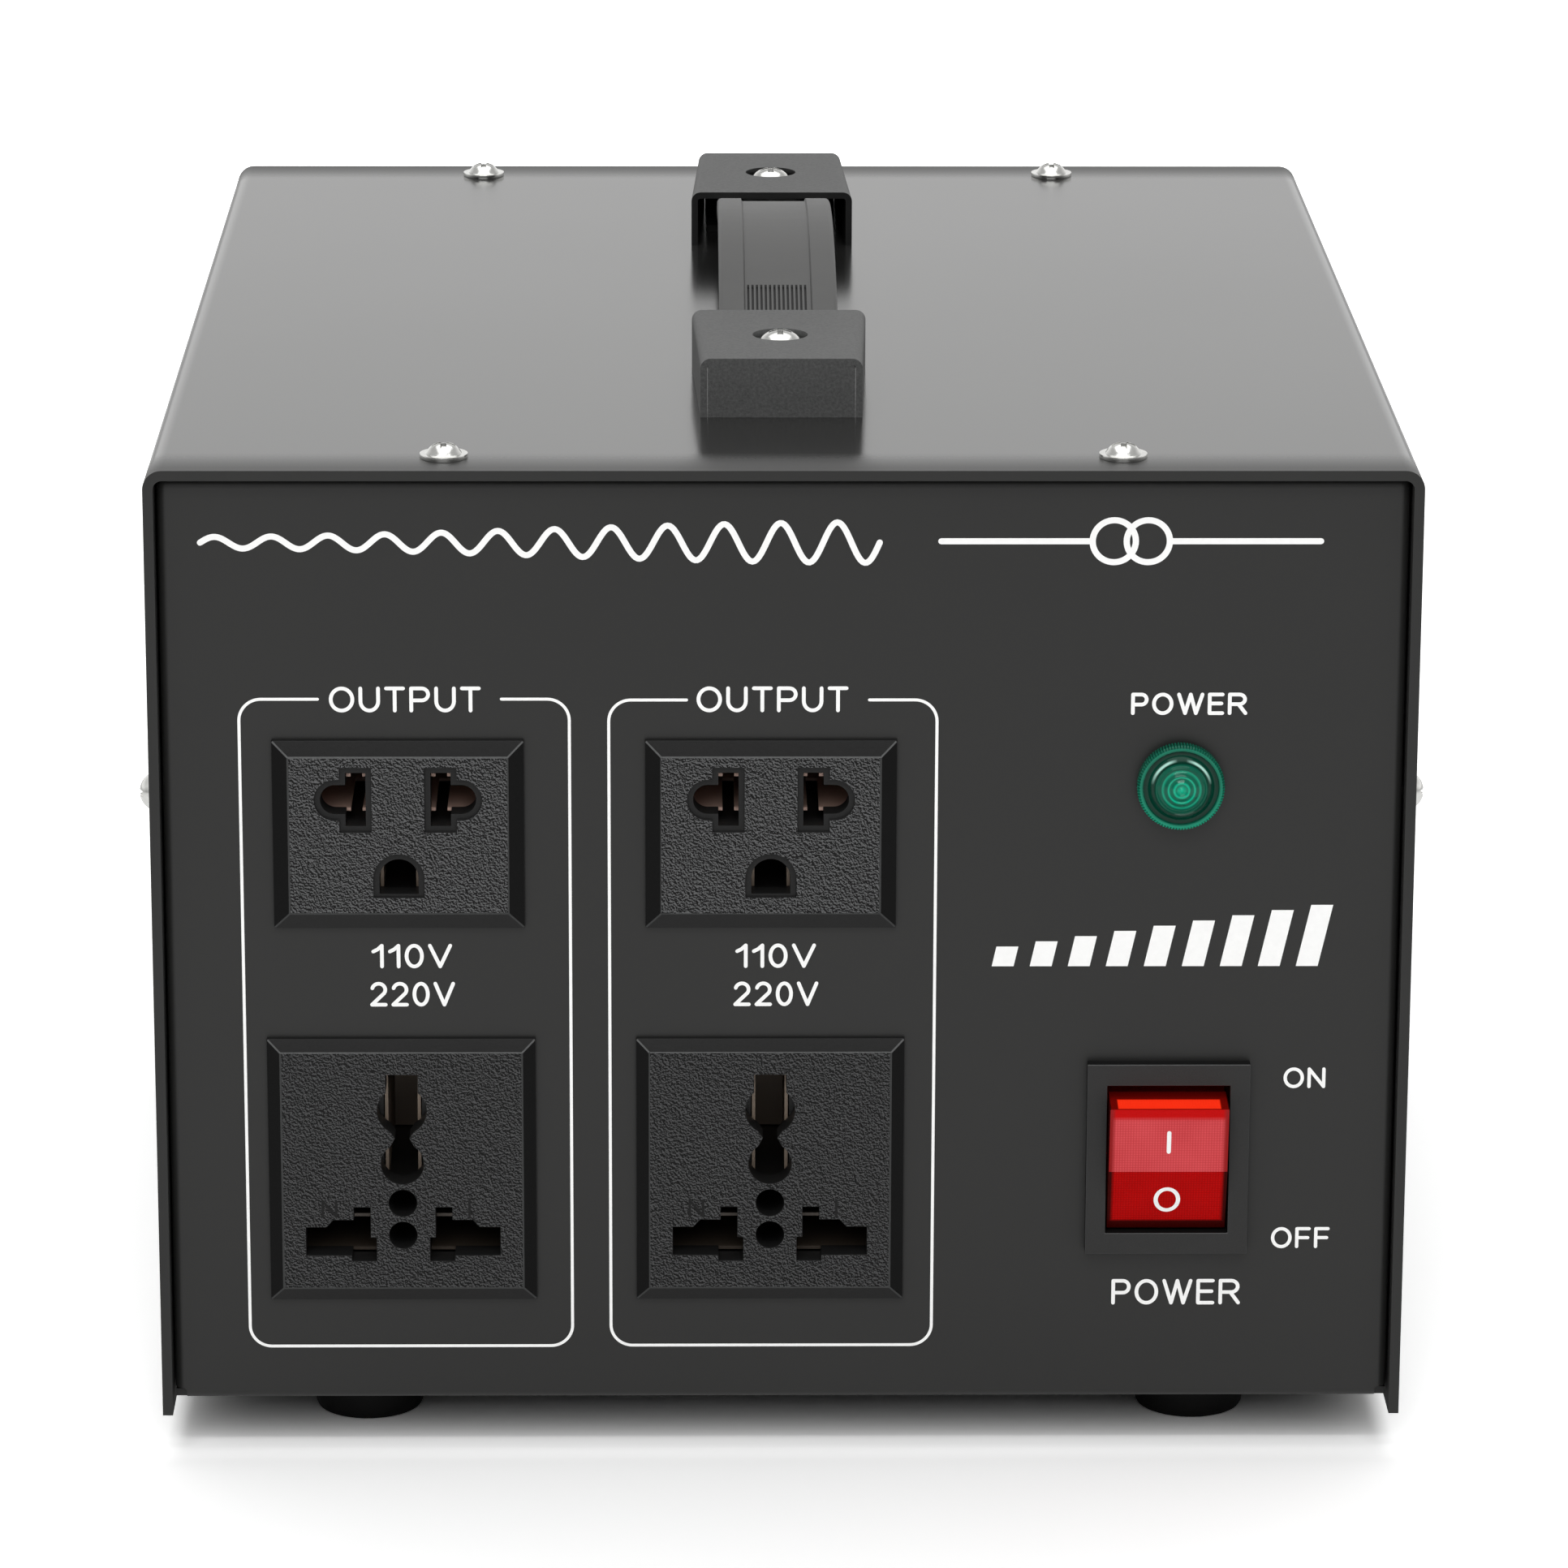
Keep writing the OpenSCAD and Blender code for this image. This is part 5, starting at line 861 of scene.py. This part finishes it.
def stroke(path, line, layer=0):  # a flat ribbon with round ends along a path in mm
    points = [Vector(point) for point in path]
    half = line / 2
    closed = (points[0] - points[-1]).length < 0.001
    columns = []  # middle, direction and half width of each cross line
    for index, point in enumerate(points):
        before = points[index - 1] if index > 0 else points[-2 if closed else 0]
        after = points[index + 1] if index < len(points) - 1 else points[1 if closed else -1]
        columns.append((point, (after - before).normalized(), half))
    first, last = columns[0], columns[-1]
    for turn in () if closed else [math.radians(turn) for turn in printForm["endTurns"]]:
        columns.insert(0, (first[0] - first[1] * half * math.sin(turn), first[1], half * math.cos(turn)))
        columns.append((last[0] + last[1] * half * math.sin(turn), last[1], half * math.cos(turn)))
    bpy.ops.mesh.primitive_grid_add(x_subdivisions=len(columns) - 1, y_subdivisions=1, size=1,
                                    rotation=(quarterTurn, 0, 0))
    piece = bpy.context.object
    settle(piece)
    for vertex in piece.data.vertices:
        middle, along, wide = columns[round((vertex.co.x + 0.5) * (len(columns) - 1))]
        side = wide if vertex.co.z > 0 else -wide
        vertex.co = ((middle.x - along.y * side) * mm, -layer * printForm["layer"] * mm,
                     (middle.y + along.x * side) * mm)
    return piece


def word(text, x, z, width, height, line):  # a word round its middle, width and height over the ink
    gap = printForm["letterGap"]
    natural = sum(letterForms[letter][0] for letter in text) + gap * (len(text) - 1)
    scale = width / natural
    left = x - width / 2
    parts = []
    for letter in text:
        share, strokes = letterForms[letter]
        wide = share * scale - line
        for layer, path in enumerate(strokes):
            parts.append(stroke([(left + line / 2 + across * wide,
                                  z - height / 2 + line / 2 + up * (height - line))
                                 for across, up in path], line, layer))
        left += (share + gap) * scale
    return parts


def frameLine(left, right, bottom, top, gapLeft, gapRight):  # a rounded frame with a gap in its top line
    corner = printForm["frameCorner"]
    path = [(gapRight, top)] + arc(right - corner, top - corner, corner, corner, 90, 0)
    path += arc(right - corner, bottom + corner, corner, corner, 0, -90)
    path += arc(left + corner, bottom + corner, corner, corner, 270, 180)
    path += arc(left + corner, top - corner, corner, corner, 180, 90) + [(gapLeft, top)]
    return stroke(path, printForm["frameLine"])


def wave(left, right, z, small, large, periods, line):  # a sine line whose swing grows to the right
    path = []
    steps = printForm["waveSteps"]
    for index in range(steps + 1):
        share = index / steps
        swing = small + (large - small) * share * share * (3 - 2 * share)
        path.append((left + (right - left) * share, z + swing * math.sin(fullTurn * periods * share)))
    return stroke(path, line)


def bar(x, z, width, height, lean):  # an upright bar that leans to the right
    piece = uprightSheet(x, z, width, height)
    for vertex in piece.data.vertices:
        vertex.co.x += (vertex.co.z - z * mm) * lean
    return piece


def printed(name, parts, body, place, material=whiteInk):  # flat parts become one thin layer
    piece = joined(parts, name)
    dress(piece, material)
    piece.matrix_world = place
    settle(piece)
    modify(piece, "SOLIDIFY", thickness=printForm["thickness"] * mm, offset=1)
    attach(piece, body)


onPanel = Matrix.Translation((0, frontY - printForm["lift"] * mm, 0))
bold, fine = printForm["letterLine"], printForm["smallLine"]
frameRows = [  # left, right, bottom, top, then the gap in the top line
    (-83.6, -32.9, 17.9, 123.55, -71.5, -43.3), (-26.85, 23.6, 17.95, 123.4, -14.9, 13.2)]
columnMiddles = (-57.7, -1.3)
outletRows = [  # text, place from the column's middle, height up, width, height
    ("OUTPUT", -0.4, 123.5, 23.3, 4.1), ("110V", 0.2, 82.25, 12.5, 3.95), ("220V", 0.25, 76.05, 13.2, 4.0)]
powerRows = [("POWER", 62.35, 122.75, 17.9, 3.55, bold), ("POWER", 62.05, 26.75, 20.3, 4.25, bold),
             ("ON", 81.5, 62.2, 6.55, 3.4, fine), ("OFF", 81.45, 35.75, 9.2, 3.5, fine)]
waveForm = {"left": -89, "right": 14.6, "z": 148.3, "small": 0.9, "large": 3.2, "periods": 12, "line": 0.95}
coilForm = {"z": 148.5, "radius": 3.3, "rings": (50.4, 55.6), "leads": ((24, 46.8), (59.2, 82)), "line": 0.95}
barForm = {"count": 9, "x": 34.5, "pitch": 6, "z": 82.1, "rise": 0.42, "width": 3.4, "height": 3.2,
           "growth": 0.84, "lean": 0.22}
backRows = [  # text, the node below it, place from the node's middle, width
    ("110V", "selector_housing", -9, 12.5, 12.5), ("220V", "selector_housing", 9, 12.5, 13.2),
    ("INPUT", "gland_body", 0, 17, 17)]
backLetterHeight = 4
poleForm = {"neutralX": -11.5, "z": -6.2, "width": 2.5, "height": 3, "liveX": 10.4, "liveTop": -4.9,
            "liveFoot": -7.5, "line": 0.4}
markForm = {"line": 0.66, "foot": -1.85, "top": 1.45, "ringHalf": 1.75, "ringHigh": 2.03}
ringSteps = 48

printed("outlet_frames", [frameLine(*row) for row in frameRows], "case", onPanel)
printed("outlet_words", [part for middle in columnMiddles for text, aside, *place in outletRows
                         for part in word(text, middle + aside, *place, bold)], "case", onPanel)
printed("power_words", [part for row in powerRows for part in word(*row)], "case", onPanel)
printed("wave_print", [wave(**waveForm)], "case", onPanel)
coilRings = [stroke(arc(x, coilForm["z"], coilForm["radius"], coilForm["radius"], 90, 450, ringSteps),
                    coilForm["line"], layer) for layer, x in enumerate(coilForm["rings"])]
coilLeads = [stroke([(x, coilForm["z"]) for x in ends], coilForm["line"], 2) for ends in coilForm["leads"]]
printed("coil_print", coilRings + coilLeads, "case", onPanel)
printed("bar_print", [bar(barForm["x"] + barForm["pitch"] * index, barForm["z"] + barForm["rise"] * index,
                          barForm["width"], barForm["height"] + barForm["growth"] * index, barForm["lean"])
                      for index in range(barForm["count"])], "case", onPanel)

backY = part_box("tray")[1].y + printForm["lift"] * mm
onBack = Matrix.Translation((0, backY, 0)) @ Matrix.Rotation(math.pi, 4, "Z")
backWords = []  # seen from behind, so x runs the other way
for text, node, aside, up, width in backRows:
    low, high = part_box(node)
    middle = (low + high) / 2 / mm
    backWords += word(text, aside - middle.x, middle.z + up, width, backLetterHeight, bold)
printed("back_words", backWords, "case", onBack)

for side in ("left", "right"):  # pole marks beside the lower outlets' slots, drawn as dark layers: painted shade of the sunk marks
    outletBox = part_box("lower_" + side + "_outlet_face")
    middle = (outletBox[0] + outletBox[1]) / 2 / mm
    marks = word("N", middle.x + poleForm["neutralX"], middle.z + poleForm["z"], poleForm["width"],
                 poleForm["height"], poleForm["line"])
    marks += [stroke([(middle.x + poleForm["liveX"], middle.z + poleForm[end])
                      for end in ("liveTop", "liveFoot")], poleForm["line"])]
    printed(side + "_pole_marks", marks, "case",
            Matrix.Translation((0, outletBox[0].y - printForm["lift"] * mm, 0)), paintedShadePlastic)

onMark = stroke([(0, markForm["foot"]), (0, markForm["top"])], markForm["line"])
offMark = stroke(arc(0, 0, markForm["ringHalf"], markForm["ringHigh"], 90, 450, ringSteps), markForm["line"])
for name, side, drawing in (("rocker_on_mark", 1, onMark), ("rocker_off_mark", -1, offMark)):
    faces = [face for face in rocker.data.polygons
             if face.normal.y < rockerForm["faceTurn"] and (face.center.z - rockerMiddle.z) * side > 2 * mm]
    widest = max(faces, key=lambda face: face.area)
    normal = widest.normal.copy()
    up = Vector((0, normal.z, -normal.y)).normalized()
    if up.z < 0:
        up = -up
    turn = Matrix((Vector((1, 0, 0)), -normal, up)).transposed().to_4x4()
    spot = widest.center + normal * printForm["lift"] * mm
    printed(name, [drawing], "rocker", Matrix.Translation(Vector((rockerMiddle.x, spot.y, spot.z))) @ turn)
print("printing ready")


stageLook = {"floorSize": 30, "floorColour": 0.9, "floorSeen": 1.47, "floorInPaintedShadow": 1.06,
             "front": (-110, -122), "floorFar": 3.5, "far": (450, 1600), "skyForLight": 0.5,
             "sky": (0.1, 0.5), "glossLow": 0.2, "glossHigh": 1.14, "glossUp": 0.8, "glossBack": 0.6,
             "gloss": (-0.2, 0.3), "glossFall": 0.6, "fall": (0.15, 0.6)}
bpy.ops.mesh.primitive_plane_add(size=stageLook["floorSize"])
floor = bpy.context.object
floor.name = "floor"
paper = Recipe(bpy.data.materials.new("paleFloor"))  # whiter to the camera than as a light on the object
paperSeen = paper.node("ShaderNodeLightPath", outlet="Is Camera Ray")
paperPlace = paper.node("ShaderNodeTexCoord", outlet="Object")
away = paper.node("ShaderNodeVectorMath", {"operation": "LENGTH"}, {0: paperPlace}, "Value")
# painted shadow: the floor in front of the object is dimmer for the camera
paintedShadowShare = paper.span(paper.axis("Y", paperPlace), *stageLook["front"])
paperNear = paper.mix(paintedShadowShare, grey(stageLook["floorSeen"]), grey(stageLook["floorInPaintedShadow"]))
farShare = paper.span(away, *stageLook["far"])
paperWhite = paper.mix(farShare, paperNear, grey(stageLook["floorFar"]))
paperColour = paper.mix(paperSeen, grey(stageLook["floorColour"]), paperWhite)
paperShade = paper.node("ShaderNodeBsdfDiffuse", None, {"Color": paperColour})
paper.links.new(paperShade.socket, paper.nodes.new("ShaderNodeOutputMaterial").inputs["Surface"])
dress(floor, paper.owner)

world = bpy.data.worlds.new("studio")
bpy.context.scene.world = world
air = Recipe(world)
seen = air.node("ShaderNodeLightPath", outlet="Is Camera Ray")
seenThrough = air.node("ShaderNodeLightPath", outlet="Is Transmission Ray")
mirrored = air.node("ShaderNodeLightPath", outlet="Is Glossy Ray")
direction = air.node("ShaderNodeTexCoord", outlet="Generated")
lean = air.axis("Z", direction) * stageLook["glossUp"] + air.axis("Y", direction) * stageLook["glossBack"]
overhead = air.ramp(lean, *stageLook["gloss"])
glossLevel = stageLook["glossLow"] + overhead * (stageLook["glossHigh"] - stageLook["glossLow"])
steep = air.ramp(air.axis("Z", direction), *stageLook["fall"])
glossLevel = glossLevel - steep * stageLook["glossFall"]
skyShare = air.ramp(air.axis("Z", direction), *stageLook["sky"])
skyLevel = skyShare * stageLook["skyForLight"]  # no light from the horizon
white = air.math("MAXIMUM", seen, seenThrough)
unseen = mirrored * glossLevel + (1 - mirrored) * skyLevel
backdrop = air.node("ShaderNodeBackground", None, {0: (1, 1, 0.995, 1), 1: white + (1 - white) * unseen})
air.links.new(backdrop.socket, air.nodes.new("ShaderNodeOutputWorld").inputs[0])

lights = {
    "top_softbox": {"at": (0, 0.15, 1.5), "aim": (0, 0, 0.1), "size": 1.6, "watts": 11},
    "front_fill": {"at": (-0.1, -1.6, 1.5), "aim": (0, 0, 0.06), "size": 1.7, "watts": 21},
    "front_strip": {"at": (0, -1.0, 1.35), "aim": (0, 0, 0.08), "size": 1.3, "depth": 0.1, "watts": 3.5},
}
for name, look in lights.items():
    lamp = bpy.data.lights.new(name, "AREA")
    lamp.shape = "RECTANGLE"
    lamp.size = look["size"]
    lamp.size_y = look.get("depth", look["size"])
    lamp.energy = look["watts"]
    holder = bpy.data.objects.new(name, lamp)
    bpy.context.collection.objects.link(holder)
    holder.location = look["at"]
    holder.rotation_euler = (Vector(look["aim"]) - Vector(look["at"])).to_track_quat("-Z", "Y").to_euler()

cameraLook = {"at": (-0.0147, -1.16098, 0.41069), "yaw": 0.0142, "pitch": 0.28069, "roll": 0.00328,
              "lens": 161.8, "sensor": 36, "clip": 0.05}
camera = bpy.data.objects.new("camera", bpy.data.cameras.new("camera"))
bpy.context.collection.objects.link(camera)
camera.data.sensor_width = cameraLook["sensor"]
camera.data.lens = cameraLook["lens"]
camera.data.clip_start = cameraLook["clip"]
camera.matrix_world = (Matrix.Translation(cameraLook["at"]) @ Matrix.Rotation(-cameraLook["yaw"], 4, "Z")
                       @ Matrix.Rotation(quarterTurn - cameraLook["pitch"], 4, "X")
                       @ Matrix.Rotation(cameraLook["roll"], 4, "Z"))
bpy.context.scene.camera = camera
bpy.context.scene.view_settings.view_transform = "Standard"
print("stage ready")

deselect()
